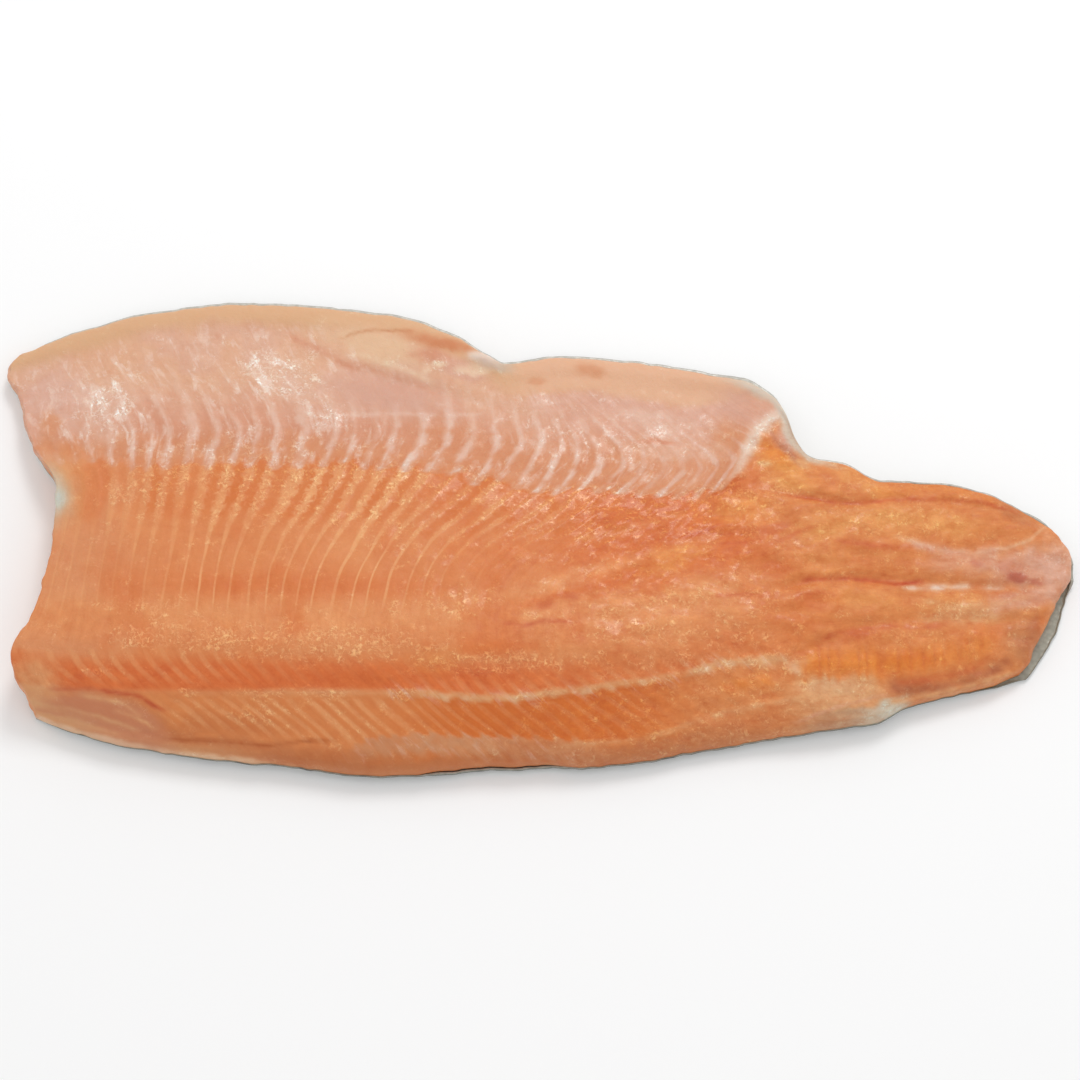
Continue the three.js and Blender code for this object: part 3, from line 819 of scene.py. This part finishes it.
# Pelvic fin: a cream swelling over an orange wedge, with smooth grey rose membrane below
lay_patches([
    (GREY_ROSE, (0.9, 133, 53, 22, 9, -10)),
    (LINING_ROSE, (0.6, 127, 40.5, 8, 3)),
    (POCKET_CREAM, (0.95, 127, 71, 20, 6.5, -18)),
    (WEDGE_ORANGE, (0.95, 150, 71.5, 13, 3, -14)),
    (GREY_ROSE, (0.7, 156, 62, 9, 4, -15)),
    (LINING_ROSE, (0.85, 148, 66, 8, 3.4, -15)),
    (FAT_CREAM, (0.8, 162, 62, 6, 1.8, 10), (0.8, 150, 63, 3, 1.2), (0.7, 145, 61, 1.5, 2, -30)),
    (STUB_GREY, (0.95, 170, 64.5, 6, 2.6, -15)),
    (MEMBRANE_WHITE, (0.95, 165, 65.8, 5.5, 2.6, -12)),
])
lay_streaks([
    (SHADED_BROWN, 0.55, 0.6, [[116, 73.5], [121, 75.7], [126, 76.4], [134, 76.5], [140, 75.8]]),
    (LINING_ROSE, 0.7, 1.4, [[98, 74.5], [108, 69.5], [117, 63.8], [124, 61.5]]),
    (FAT_CREAM, 0.7, 1.2, [[122, 68], [126, 66.4], [137, 61.9], [147, 57]]),
    (LINING_ROSE, 0.5, 0.9, [[121, 65], [128, 61.5], [138, 57.8], [148, 53]]),
    (LINING_STRIPE, 0.5, 0.7, [[118, 44.4], [136, 44.8], [152, 44.6], [164, 45.4]]),
])

# Vent: a soft white membrane round the end of the belly wall, and a pale rim of skin outside it
VENT_MEMBRANE = [
    [233, 12], [240, 16], [246, 20], [251, 23.5], [253, 29], [255, 34], [258, 39], [261.5, 42], [267, 46],
]
VENT_RIM = [[240, 64], [254, 60.5], [265, 54], [269.5, 48], [271.5, 37], [277, 31], [288, 28], [300, 21.5]]
VENT_CREASE = [[262.5, 38], [264.4, 35.2], [267.6, 31.3], [270, 28.6]]


def distance_to(knots, along, across):
    """Distance in plan from a line of straight stretches, whichever way it runs."""
    nearest = np.full(len(along), np.inf)
    for (x0, y0), (x1, y1) in zip(knots, knots[1:]):
        x_run, y_run = x1 - x0, y1 - y0
        reach = ((along - x0) * x_run + (across - y0) * y_run) / (x_run ** 2 + y_run ** 2)
        reach = np.clip(reach, 0, 1)
        off_line = np.hypot(along - x0 - reach * x_run, across - y0 - reach * y_run)
        nearest = np.minimum(nearest, off_line)
    return nearest


lay_patches([
    (GREY_ROSE, (0.8, 254, 49, 10, 6, -25)),
    (YELLOW_ORANGE, (0.9, 267, 26, 12, 6, -30)),
    (TAIL_BRIGHT, (0.7, 263, 30, 6, 3, -35)),
    (TONGUE_ORANGE, (0.5, 247, 37, 5, 7, -25)),
    (LINING_PINK, (0.7, 259, 48, 7, 5, -35)),
    (FAT_PEACH, (0.7, 259.5, 26, 2.2, 1.5)),
    (GREY_ROSE, (0.9, 267.5, 35, 2.5, 6, 20)),
    (FAT_PEACH, (0.8, 272, 27, 4.5, 2, -35)),
])
lay(TRIMMED_ROSE, 0.85 * swell(distance_to(VENT_CREASE, ragged_along, ragged_across), 1.3))
vent_fade = past(246, 255)
from_membrane = distance_to(VENT_MEMBRANE, ragged_along, ragged_across)
lay(MEMBRANE_WHITE, (0.1 + 0.75 * vent_fade) * fall(from_membrane, 0.2, 2 + 2.2 * vent_fade))
from_vent_rim = distance_to(VENT_RIM, along, across) + 0.7 * fleck
lay(GREY_WHITE, 0.9 * fall(from_vent_rim, 3, 5.5) * past(242, 258) * before(274, 290))

# Strips of fat: a thin one along the septum, a broad one along the back, and a darker brown below a thin
# line
below_line = rise(line(BACK_LINE, along) - ragged_across, 0, 2.5) * past(184, 200)
lay(SHADED_BROWN, (0.6 - 0.35 * past(215, 235)) * below_line * before(268, 285))
on_back_fat = back_fat(along, 0.5 * (across + ragged_across), flake)
lay(BACK_FAT_BEIGE, on_back_fat * np.clip(0.8 + 0.3 * fleck + 0.2 * cloud, 0, 1))
on_septum = rise(strip(SEPTUM_STRIP, along, across + 0.9 * fleck, 1.5, 18), 0.25, 0.95)
lay(FAT_PEACH, on_septum * np.clip(0.62 + 0.7 * cloud + 0.4 * fleck, 0.15, 0.85))
lay(FAT_CREAM, 0.35 * on_septum * rise(fleck, 0.1, 0.6))
lay_streaks([
    (FAT_PEACH, 0.4, 1.0, [[70, -55], [85, -55.4], [110, -55.3], [139, -55.5]]),
    (FAT_PEACH, 0.65, 0.9, BACK_LINE),
    (FAT_PEACH, 0.7, 1.6, [[256, -44.6], [264, -43.4], [273, -43.6]]),
    (TAIL_BRIGHT, 0.5, 2.4, [[244, -52.5], [252, -50.5], [260, -50]]),
    (BACK_CREASE, 0.8, 0.65, [
        [52, -65.5], [60, -68], [70, -69.4], [83, -69.9], [93, -71], [106, -70.2], [116, -70],
    ]),
])

# Head end: a patch of white fat on the cut, and the smooth face left by the knife along the back
rosy = fall(ragged_across - line(TRIMMED_FACE, along), -3, 1.5) * fall(ragged_along, 56, 70)
lay(TRIMMED_ROSE, 0.85 * rosy)
lay(BACK_BEIGE, 0.8 * rosy * fall(from_back + 2 * cloud, 2, 7) * (1 - 0.75 * past(28, 46)))
lay_patches([
    (YELLOW_ORANGE, (0.4, 24, 15, 9, 13)),
    (FAT_PEACH, (0.7, 17, -52, 11, 8)),
    (BACK_RUST, (0.5, 118, -76, 22, 3.5, -2), (0.35, 80, -65, 22, 3.5, -3)),
])
lay_streaks([
    (BLOOD_RED, 0.4, 0.6, [[24, -53.2], [34, -53.6], [44, -54.4]]),
    (BLOOD_RED, 0.8, 0.7, [[42, -54.2], [52, -56], [61, -60.2]]),
    (FAT_PEACH, 0.8, 0.8, [[34, -55.6], [40, -56.5], [47, -58], [53, -61.5]]),
    (FAT_PEACH, 0.8, 0.6, [[46, -60.5], [52, -62.5], [58, -65.5]]),
    (BACK_BEIGE, 0.9, 0.6, [[16, -56.5], [28, -59], [40, -62], [52, -66]]),
    (BACK_BEIGE, 0.7, 0.5, [[22, -60.5], [34, -63.5], [46, -67]]),
    (TRIMMED_ROSE, 0.7, 0.5, [[18, -58.5], [30, -61.2], [44, -65], [54, -69]]),
])

on_section = on_head_cut * rise(ring_number, 2, 4)
lay(FLANK_ORANGE, 0.7 * on_section * fall(t, 0.6, 0.7))
lay(LINING_PINK, 0.6 * on_section * rise(t, 0.6, 0.7))
lay(DARK_MUSCLE, 0.75 * on_section * swell(across + 24, 13) * fall(up + fleck, 3, 9))
head_fat = rise(patch(ragged_along, ragged_across, 17, 13.5, 11, 12, 10), 0.05, 0.95)
lay(HEAD_FAT, 0.95 * head_fat * rise(height_share + 0.1 * fleck, 0.5, 0.85))

# A thin layer of fat lies under the skin, and shows on the cut sides
lay(FAT_PEACH, 0.7 * fall(up, 0.8, 2.6))
lay(FAT_CREAM, 0.55 * fall(from_back + 0.5 * fleck, 0.3, 1.6) * before(90, 115))
lay(FAT_CREAM, 0.8 * on_section * fall(up + 0.6 * fleck, 1, 2.4))

# How strongly seams, tiled flakes, mottling, strokes and wet flecks show. The flecks are painted glints,
# laid where the surface is also given a glossy coat. A wet patch has its strength, along, across, half
# length, half width and slope
WET_AND_GLINT_PATCHES = [
    (0.85, 36, 46, 12, 15), (0.88, 95, 60, 19, 12, -20), (0.75, 85, 31, 42, 8), (0.5, 92, 12, 30, 14, -25),
    (0.5, 130, -1, 24, 9, -30), (0.5, 141, 12, 12, 7, -30), (0.4, 155, -11, 16, 7, -30),
    (1.8, 58, -38, 15, 4.5), (1.4, 106, -40, 48, 6, -2), (1.8, 168, -46.5, 20, 3.5),
    (0.5, 190, 13, 34, 7, -20), (0.75, 214, -35, 26, 9), (0.6, 253, 5, 12, 8), (0.6, 214, 33, 32, 10),
    (0.6, 290, 5, 20, 9, -10), (0.7, 312, 6, 10, 7, -10), (0.6, 287, -29, 14, 6, 10),
    (0.9, 321, -25, 15, 4), (0.8, 305, -36, 18, 4, 5), (1.3, 139, -55.4, 5, 2), (0.8, 84, -61, 3, 2),
    (1.3, 92, -55.9, 10, 1.8), (1.1, 70, -55.2, 4, 1.5), (1.2, 114, -54.9, 11, 2), (0.9, 39, -49, 9, 2),
    (0.45, 233, 40, 12, 6), (0.5, 275, -48, 14, 5), (0.7, 150, 63, 10, 4, -12), (0.7, 50, 17, 16, 9),
    (0.6, 252, -49, 10, 4, 8), (0.5, 262, 20, 8, 6), (0.6, 200, 4, 26, 12, -10), (0.7, 238, 0, 20, 12),
    (0.6, 56, -28, 22, 7), (0.65, 155, -27, 24, 7), (0.6, 114, 42, 14, 10), (0.5, 190, 36, 16, 10),
    (0.6, 92, -62, 18, 5), (0.7, 238, -54, 16, 5, 8), (0.9, 50, -60, 6, 3, -20),
]
smooth = np.maximum(0.5 * trimmed, rim_share)
for oval in (133, 52, 20, 9, -10), (129, 72, 22, 7, -15):
    smooth = np.maximum(smooth, patch(along, across, *oval))
on_flank = rise(from_midline, -1, 5) * fall(from_wall, -2, 0.5)
on_flank *= (0.5 * past(8, 30) + 0.5 * past(42, 78)) * fall(along - 1.3 * from_midline, 112, 156)
on_band = rise(from_septum, 1, 6) * fall(from_septum, 10, 15) * past(12, 24)
on_band *= 1 - 0.85 * past(70, 120)
spurs = rise(from_septum, -1, 0.5) * fall(from_septum, 2.5, 6) * past(130, 160) * (1 - in_tail)
on_back = fall(from_septum, -3, -1) * rise(from_back, 6, 11) * past(55, 72)
on_back *= (1 - 0.5 * past(128, 156)) * (1 - 0.6 * past(205, 235))
on_back *= (1 - in_tail) * (1 - on_back_fat)
tiled = rise(from_wall, -30, -14) * fall(from_wall, -1, 3) * past(30, 60) * before(205, 240)
tiled = np.maximum(tiled, 0.35 * on_back) * (1 - trimmed)
tiled *= 0.8 + 0.4 * mottle(np.floor(flake), t * 7, 1, 62)
seam_shows = 0.9 * on_flank * np.clip(0.75 + 0.6 * cloud, 0.15, 1)
seam_shows *= 0.8 + 0.35 * mottle(np.floor(flake + 0.5), t * 7, 1, 63)
elsewhere = 0.5 * on_band + 0.52 * on_back + 0.35 * spurs
seam_shows = (seam_shows + elsewhere * (0.85 + 0.4 * cloud)) * (1 - trimmed)
seam_width = 0.1 + 0.24 * rise(from_midline, 18, 42) + 0.22 * fall(from_septum, 6, 18)
mottled = 0.4 + 0.6 * past(145, 205) * (1 - 0.8 * cavity)
mottled += 0.3 * swell(from_midline + 4, 7) + 0.45 * in_dark_band
strokes = 0.45 - 0.2 * past(120, 150)
for oval in (36, 46, 14, 15), (95, 58, 22, 12, -18):
    strokes += 0.6 * patch(along, across, *oval)
strokes = cavity * (strokes + 0.2 * past(165, 200) * fall(from_wall, 24, 34))
strokes *= (1 - 0.7 * past(190, 225) * rise(from_wall, 8, 20)) * (1 - 0.6 * past(212, 240))
strokes += 0.25 * strip(SEPTUM_STRIP, along, across, 2.6) + 0.2 * on_back_fat
# Where the surface is wet: there the coat is glossy and flecks of painted glint are laid
wet_and_glints = 0.2 + 0.3 * past(160, 225) * (1 - cavity) * (1 - 0.6 * past(255, 285))
wet_and_glints += 0.45 * swell(from_wall + 3, 6) * past(30, 60) * (1 - in_tail)
for strength, *oval in WET_AND_GLINT_PATCHES:
    wet_and_glints = np.maximum(wet_and_glints, strength * patch(ragged_along, ragged_across, *oval))

# The studio shows a colour a little brighter than it is painted, and the wet surface adds some white light
LIGHT = 1.05
SHEEN = 0.02


def linear(colour):
    """A colour out of 255, as a display shows it, turned into light."""
    share = np.asarray(colour, float) / 255
    return np.where(share <= 0.04045, share / 12.92, ((share + 0.055) / 1.055) ** 2.4)


def paint(colour):
    """The paint that shows as a colour out of 255 in this light."""
    light = np.clip((linear(colour) - SHEEN) / LIGHT, 0, 1)
    return np.concatenate([light, np.ones((*light.shape[:-1], 1))], -1)


store(flesh, "tint", paint(flesh_tint), "FLOAT_COLOR")
FIBRE_STRETCH = 3.6
store(flesh, "grain", np.stack([s * LENGTH, t * WIDTH / FIBRE_STRETCH, 0 * s], -1) * MM, "FLOAT_VECTOR")
store(flesh, "lengthwise", past(165, 220) * (1 - cavity))
store(flesh, "flake", np.where(on_head_cut, nested, flake))
store(flesh, "seam_shows", np.where(on_head_cut, 0.4 * (ring_number > 3), np.clip(seam_shows, 0, 1)))
store(flesh, "seam_width", np.where(on_head_cut, 0.2, seam_width))
store(flesh, "tiled", np.clip(tiled, 0, 1) * (side_s > 0))
store(flesh, "mottled", np.clip(mottled * (1 - 0.85 * smooth), 0, 1))
store(flesh, "strokes", np.clip(strokes * (1 - smooth), 0, 1) * (side_s > 0))
store(flesh, "wet_and_glints", np.clip(wet_and_glints * (1 - 0.9 * smooth) * (1 - head_fat), 0, 1))


def plug(node, inputs):
    """Gives each named input of a node its value, or links it to the output of another node."""
    for socket, value in inputs.items():
        if isinstance(value, bpy.types.NodeSocket):
            node.id_data.links.new(value, node.inputs[socket])
        else:
            node.inputs[socket].default_value = value


def add_node(kind, inputs, tree=None, **settings):
    """Adds a shader node with its settings, in a given tree or in that of the nodes that it takes in."""
    linked = [value for value in inputs.values() if isinstance(value, bpy.types.NodeSocket)]
    made = (tree or linked[0].id_data).nodes.new(kind)
    for name, value in settings.items():
        setattr(made, name, value)
    plug(made, inputs)
    return made


def attribute(tree, name, output="Fac"):
    return add_node("ShaderNodeAttribute", {}, tree, attribute_name=name).outputs[output]


def noise(place, scale, detail=2.0, roughness=0.5, distortion=0.0):
    inputs = {
        "Vector": place, "Scale": scale, "Detail": detail, "Roughness": roughness, "Distortion": distortion,
    }
    return add_node("ShaderNodeTexNoise", inputs).outputs[0]


def stretched(place, scale):
    return add_node("ShaderNodeMapping", {"Vector": place, "Scale": scale}).outputs[0]


def ramp(value, start, stop, low=0.0, high=1.0):
    """From low to high, smoothly, as the value goes from start to stop."""
    inputs = {"Value": value, "From Min": start, "From Max": stop, "To Min": low, "To Max": high}
    return add_node("ShaderNodeMapRange", inputs, interpolation_type="SMOOTHSTEP").outputs[0]


def maths(operation, first, second):
    return add_node("ShaderNodeMath", {0: first, 1: second}, operation=operation).outputs[0]


def product(*factors):
    result = factors[0]
    for factor in factors[1:]:
        result = maths("MULTIPLY", result, factor)
    return result


def mixed(factor, first, second, blend="MIX"):
    """Two colours, mixed by a factor."""
    inputs = {0: factor, 6: first, 7: second}
    return add_node("ShaderNodeMix", inputs, data_type="RGBA", blend_type=blend).outputs[2]


def new_material(name):
    """An empty material with its shader: the material, its node tree and the shader."""
    material = bpy.data.materials.new(name)
    material.use_nodes = True
    return material, material.node_tree, material.node_tree.nodes["Principled BSDF"]


# Wet raw flesh: pale seams between tiled flakes, pale strokes in the lining, and flecks of painted glint
# where it is wet, over a glossy coat. The scale of a noise is in lumps per metre
SEAM_PALE = (236, 172, 119)
TILE_DEEP = (212, 118, 62)
STROKE_PALE = (242, 215, 198)
PAINTED_GLINT = (1.32, 1.9, 2.25, 1)
MOTTLE_LIGHT = (1.07, 1.12, 1.14, 1)
MOTTLE_DARK = (0.94, 0.83, 0.76, 1)
flesh_look, tree, flesh_shader = new_material("wet_flesh")
place = add_node("ShaderNodeTexCoord", {}, tree).outputs["Object"]
grain = attribute(tree, "grain", "Vector")
blotches = noise(place, 240, 4, 0.6)
clouds = noise(stretched(place, (0.6, 1, 1)), 110, 5, 0.62, 0.6)
worms = noise(place, 460, 2, 0.55, 0.5)
dots = noise(place, 850, 2, 0.5)
grit = noise(place, 300, 5, 0.7)
pools = noise(place, 190, 4, 0.7)
glints = noise(place, 420, 2, 0.5)
hairs = noise(grain, 330, 3, 0.6, 0.5)
fibres = noise(grain, 420, 4, 0.62, 0.7)
tail_fibres = noise(stretched(place, (0.4, 1, 1)), 380, 4, 0.62, 0.9)
fibre_mix = {0: attribute(tree, "lengthwise"), 2: fibres, 3: tail_fibres}
fibres = add_node("ShaderNodeMix", fibre_mix).outputs[0]

to_seam = maths("PINGPONG", attribute(tree, "flake"), 0.5)
broken_seam = ramp(blotches, 0.3, 0.6, 0.35, 0.85)
tiles = attribute(tree, "tiled")
ragged_seam = maths("ADD", to_seam, product(ramp(worms, 0.3, 0.7, -0.12, 0.12), tiles))
width = attribute(tree, "seam_width")
seam_line = ramp(ragged_seam, width, product(width, 0.3))
seam_cover = product(seam_line, attribute(tree, "seam_shows"), broken_seam)
tile_cover = product(ramp(ragged_seam, 0.2, 0.42, 0.0, 0.7), tiles)
stroke_cover = product(ramp(hairs, 0.5, 0.64, 0.0, 0.75), attribute(tree, "strokes"))
stroke_cover = product(stroke_cover, ramp(pools, 0.32, 0.55))
to_worm = maths("ABSOLUTE", maths("SUBTRACT", worms, 0.5), 0.0)
wet_and_glint_share = maths("ADD", ramp(pools, 0.3, 0.7, -0.45, 0.45), attribute(tree, "wet_and_glints"))
wet_and_glint_share = ramp(maths("ADD", wet_and_glint_share, product(seam_line, tiles, 0.5)), 0.2, 1.0)
glint_marks = maths("MAXIMUM", ramp(to_worm, 0.06, 0.01, 0.0, 0.6), ramp(dots, 0.53, 0.64))
glint_cover = product(glint_marks, wet_and_glint_share, ramp(glints, 0.35, 0.65, 0.2, 1.0))

mottling = attribute(tree, "mottled")
flesh_colour = attribute(tree, "tint", "Color")
PATTERNS = [(clouds, 0.7, 0.3, 1.0), (grit, 0.65, 0.36, 0.7), (fibres, 0.68, 0.32, 0.8)]
for pattern, light_at, dark_at, most in PATTERNS:
    for tone, full_at in (MOTTLE_LIGHT, light_at), (MOTTLE_DARK, dark_at):
        cover = product(ramp(pattern, 0.5, full_at, 0.0, most), mottling)
        flesh_colour = mixed(cover, flesh_colour, tone, "MULTIPLY")
for cover, colour in (tile_cover, TILE_DEEP), (seam_cover, SEAM_PALE), (stroke_cover, STROKE_PALE):
    flesh_colour = mixed(cover, flesh_colour, paint(colour))
# Painted glints: the flecks lighten the colour towards white, standing in for highlights off the wet
# surface
flesh_colour = mixed(glint_cover, flesh_colour, PAINTED_GLINT, "MULTIPLY")

beads = maths("ADD", grit, product(glint_cover, 0.5))
bump = add_node("ShaderNodeBump", {"Height": beads, "Strength": 0.5, "Distance": 0.0008})
plug(flesh_shader, {
    "Base Color": flesh_colour,
    "Roughness": ramp(blotches, 0.3, 0.7, 0.42, 0.56),
    "Coat Weight": maths("ADD", product(glint_cover, 0.25), product(wet_and_glint_share, 0.2)),
    "Coat Roughness": 0.16,
    "Normal": bump.outputs[0],
    "Specular IOR Level": 0.3,
    "Subsurface Weight": 0.12,
    "Subsurface Radius": (1.0, 0.45, 0.25),
    "Subsurface Scale": 0.002,
})
flesh.data.materials.append(flesh_look)

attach(flesh, "root")
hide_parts("fillet")


# Skin
# The fish's own skin, left on under the flesh: half a millimetre thick, silver with small scales, dark
# spots towards the back and white towards the belly. Its cut edge shows as a grey line round the flesh.
SKIN_COLUMNS = 281
SKIN_ROWS = 91
SKIN_EDGE = 0.96
SKIN_STEPS = 6
HEAD_FLAT_REACH = 8
TAIL_FLAT_SHARE = 0.6

skin_s, skin_t = grid_shares(SKIN_COLUMNS, SKIN_ROWS)
skin_rim = rim_order(SKIN_COLUMNS, SKIN_ROWS)


def skin_ring(step, thickness):
    """One ring of the skin's side, from its cut edge at step 0 down to the table, inside or outside."""
    share = step / SKIN_STEPS
    s, t = skin_s[skin_rim], skin_t[skin_rim]
    along, across = plan(s, t)
    height = flesh_height(along, across, s, t)
    shows = skin_shows(s, t)
    at_edge = {"tail": (s == 1) & (t < TAIL_FLAT_SHARE), "back": t == 0}
    flat = fall(s * LENGTH, 0, HEAD_FLAT_REACH)
    for side, here in at_edge.items():
        flat = np.maximum(flat, here * rise(shows[side], 0, SKIN_LIES_FLAT_FROM))
    widest = widest_share(s, t) * height
    edge = SKIN_EDGE * widest * (1 - flat) + FLAT_SKIN_EDGE * flat
    first_turn = np.arcsin(np.clip(1 - edge / widest, 0, 1))
    turn = first_turn + (math.pi / 2 - first_turn) * share
    edge_thickness = {
        side: thickness / SKIN_THICKNESS * (SKIN_THICKNESS + shown * fall(shown, 0, SKIN_LIES_FLAT_FROM))
        for side, shown in shows.items()
    }
    edge_thickness["belly"] = thickness / SKIN_THICKNESS * (SKIN_THICKNESS + shows["belly"])
    distance = {
        side: edge_thickness[side] * np.cos(turn) + size * (1 - np.cos(turn))
        for side, size in round_below(s, t).items()
    }
    along, across = plan(*drawn_in(s, t, distance))
    up = widest * (1 - np.sin(turn)) + thickness * np.sin(turn)
    return np.stack([along, across, up], -1)


def skin_floor(thickness):
    """The flat of the skin, inside or on the table."""
    along, across = plan(*drawn_in(skin_s, skin_t, round_below(skin_s, skin_t)))
    return np.stack([along, across, np.full(len(along), thickness)], -1)


inner_rings = [skin_ring(step, SKIN_THICKNESS) for step in range(SKIN_STEPS - 1, -1, -1)]
outer_rings = [skin_ring(step, 0.0) for step in range(SKIN_STEPS)]
skin_points = np.concatenate([skin_floor(SKIN_THICKNESS), *inner_rings, *outer_rings, skin_floor(0.0)])

ring_total = 2 * SKIN_STEPS
floor_count = len(skin_s)
under_first = floor_count + ring_total * len(skin_rim)
skin_rings = [skin_rim]
skin_rings += [floor_count + k * len(skin_rim) + np.arange(len(skin_rim)) for k in range(ring_total)]
skin_rings += [under_first + skin_rim]
skin_faces = grid_faces(SKIN_COLUMNS, SKIN_ROWS).tolist() + ring_faces(skin_rings)
upper_corners = sum(map(len, skin_faces))
skin_faces += grid_faces(SKIN_COLUMNS, SKIN_ROWS, under_first)[:, ::-1].tolist()

all_s = np.concatenate([skin_s, np.tile(skin_s[skin_rim], ring_total), skin_s])
all_t = np.concatenate([skin_t, np.tile(skin_t[skin_rim], ring_total), skin_t])
layer_counts = [floor_count] + ring_total * [len(skin_rim)] + [floor_count]
skin_layer = np.repeat(np.arange(ring_total + 2), layer_counts)
skin_map = flat_map(all_s, all_t, skin_layer, ring_total, skin_points, skin_faces, upper_corners)
skin = make_piece("skin", skin_points, skin_faces, skin_map)

SKIN_SILVER = (168, 166, 156)
SKIN_BACK = (98, 104, 96)
SKIN_BELLY = (214, 210, 202)
SKIN_BLUSH = (186, 148, 142)
SKIN_INSIDE = (210, 208, 196)
SKIN_TAIL = (168, 168, 154)
SCALE_SHADE = (0.62, 0.62, 0.6, 1)
SPOT_BLACK = (0.02, 0.022, 0.02, 1)
is_inside = skin_layer <= SKIN_STEPS
skin_tint = np.tile(np.array(SKIN_SILVER, float), (len(skin_points), 1))
lay(SKIN_BACK, 0.85 * fall(all_t, 0.08, 0.3), skin_tint)
lay(SKIN_BLUSH, 0.6 * swell(all_t - 0.36, 0.07), skin_tint)
lay(SKIN_BELLY, 0.9 * rise(all_t, 0.5, 0.8), skin_tint)
lay(SKIN_INSIDE, is_inside, skin_tint)
lay(SKIN_TAIL, 0.9 * is_inside * rise(all_s, 0.74, 0.8), skin_tint)
store(skin, "tint", paint(skin_tint), "FLOAT_COLOR")
store(skin, "spotted", fall(all_t, 0.3, 0.5) * ~is_inside)

skin_look, skin_tree, skin_shader = new_material("silver_skin")
skin_place = add_node("ShaderNodeTexCoord", {}, skin_tree).outputs["Object"]
scale_cells = {"Vector": stretched(skin_place, (0.8, 1, 1)), "Scale": 700}
scales = add_node("ShaderNodeTexVoronoi", scale_cells).outputs["Distance"]
spot_cells = {"Vector": skin_place, "Scale": 95}
spots = add_node("ShaderNodeTexVoronoi", spot_cells).outputs["Distance"]
spot_cover = product(ramp(spots, 0.3, 0.18), attribute(skin_tree, "spotted"))
scale_cover = ramp(scales, 0.35, 0.75, 0, 0.45)
skin_colour = attribute(skin_tree, "tint", "Color")
skin_colour = mixed(scale_cover, skin_colour, SCALE_SHADE, "MULTIPLY")
skin_colour = mixed(spot_cover, skin_colour, SPOT_BLACK)
scale_bump = add_node("ShaderNodeBump", {"Height": scales, "Strength": 0.4, "Distance": 0.0003})
plug(skin_shader, {
    "Base Color": skin_colour,
    "Roughness": ramp(scales, 0.2, 0.8, 0.28, 0.45),
    "Normal": scale_bump.outputs[0],
    "Metallic": 0.1,
    "Coat Weight": 0.4,
    "Coat Roughness": 0.12,
})
skin.data.materials.append(skin_look)

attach(skin, "root")
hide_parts("fillet")


# Studio
# A plain white floor under soft light from all round, with one lamp on the belly side, and a camera almost
# overhead, as in the photograph.
FLOOR_REACH = 10
FLOOR_WHITE = (0.93, 0.93, 0.93, 1)
floor_mesh = bpy.data.meshes.new("floor")
floor_corners = [(FLOOR_REACH * x, FLOOR_REACH * y, 0) for x, y in ((-1, -1), (1, -1), (1, 1), (-1, 1))]
floor_mesh.from_pydata(floor_corners, [], [(0, 1, 2, 3)])
floor = put_in_scene("floor", floor_mesh)
floor_look, _, floor_shader = new_material("white_floor")
plug(floor_shader, {"Base Color": FLOOR_WHITE, "Roughness": 0.8})
floor_mesh.materials.append(floor_look)

LAMP_AT = Vector((0.25, 0.85, 1.05))
LAMP_SIZE = 0.4
LAMP_POWER = 5.5
lamp = bpy.data.lights.new("lamp", "AREA")
lamp.size = LAMP_SIZE
lamp.energy = LAMP_POWER
lamp_stand = put_in_scene("lamp", lamp)
lamp_stand.location = LAMP_AT
lamp_stand.rotation_euler = (-LAMP_AT).to_track_quat("-Z", "Y").to_euler()

ROOM_LIGHT = 0.84
world = bpy.data.worlds.new("studio")
world.use_nodes = True
plug(world.node_tree.nodes["Background"], {"Color": (1, 1, 1, 1), "Strength": ROOM_LIGHT})
bpy.context.scene.world = world
bpy.context.scene.view_settings.view_transform = "Standard"

CAMERA_ELEVATION = math.radians(72)
CAMERA_DISTANCE = 0.857
CAMERA_AIM = Vector((0.00235, -0.0042, 0.010))
CAMERA_LENS = 85
CAMERA_SENSOR = 36
lens = bpy.data.cameras.new("camera")
lens.lens = CAMERA_LENS
lens.sensor_width = CAMERA_SENSOR
camera = put_in_scene("camera", lens)
toward = Vector((0, -math.cos(CAMERA_ELEVATION), math.sin(CAMERA_ELEVATION)))
camera.location = CAMERA_AIM + CAMERA_DISTANCE * toward
camera.rotation_euler = (-toward).to_track_quat("-Z", "Y").to_euler()
bpy.context.scene.camera = camera
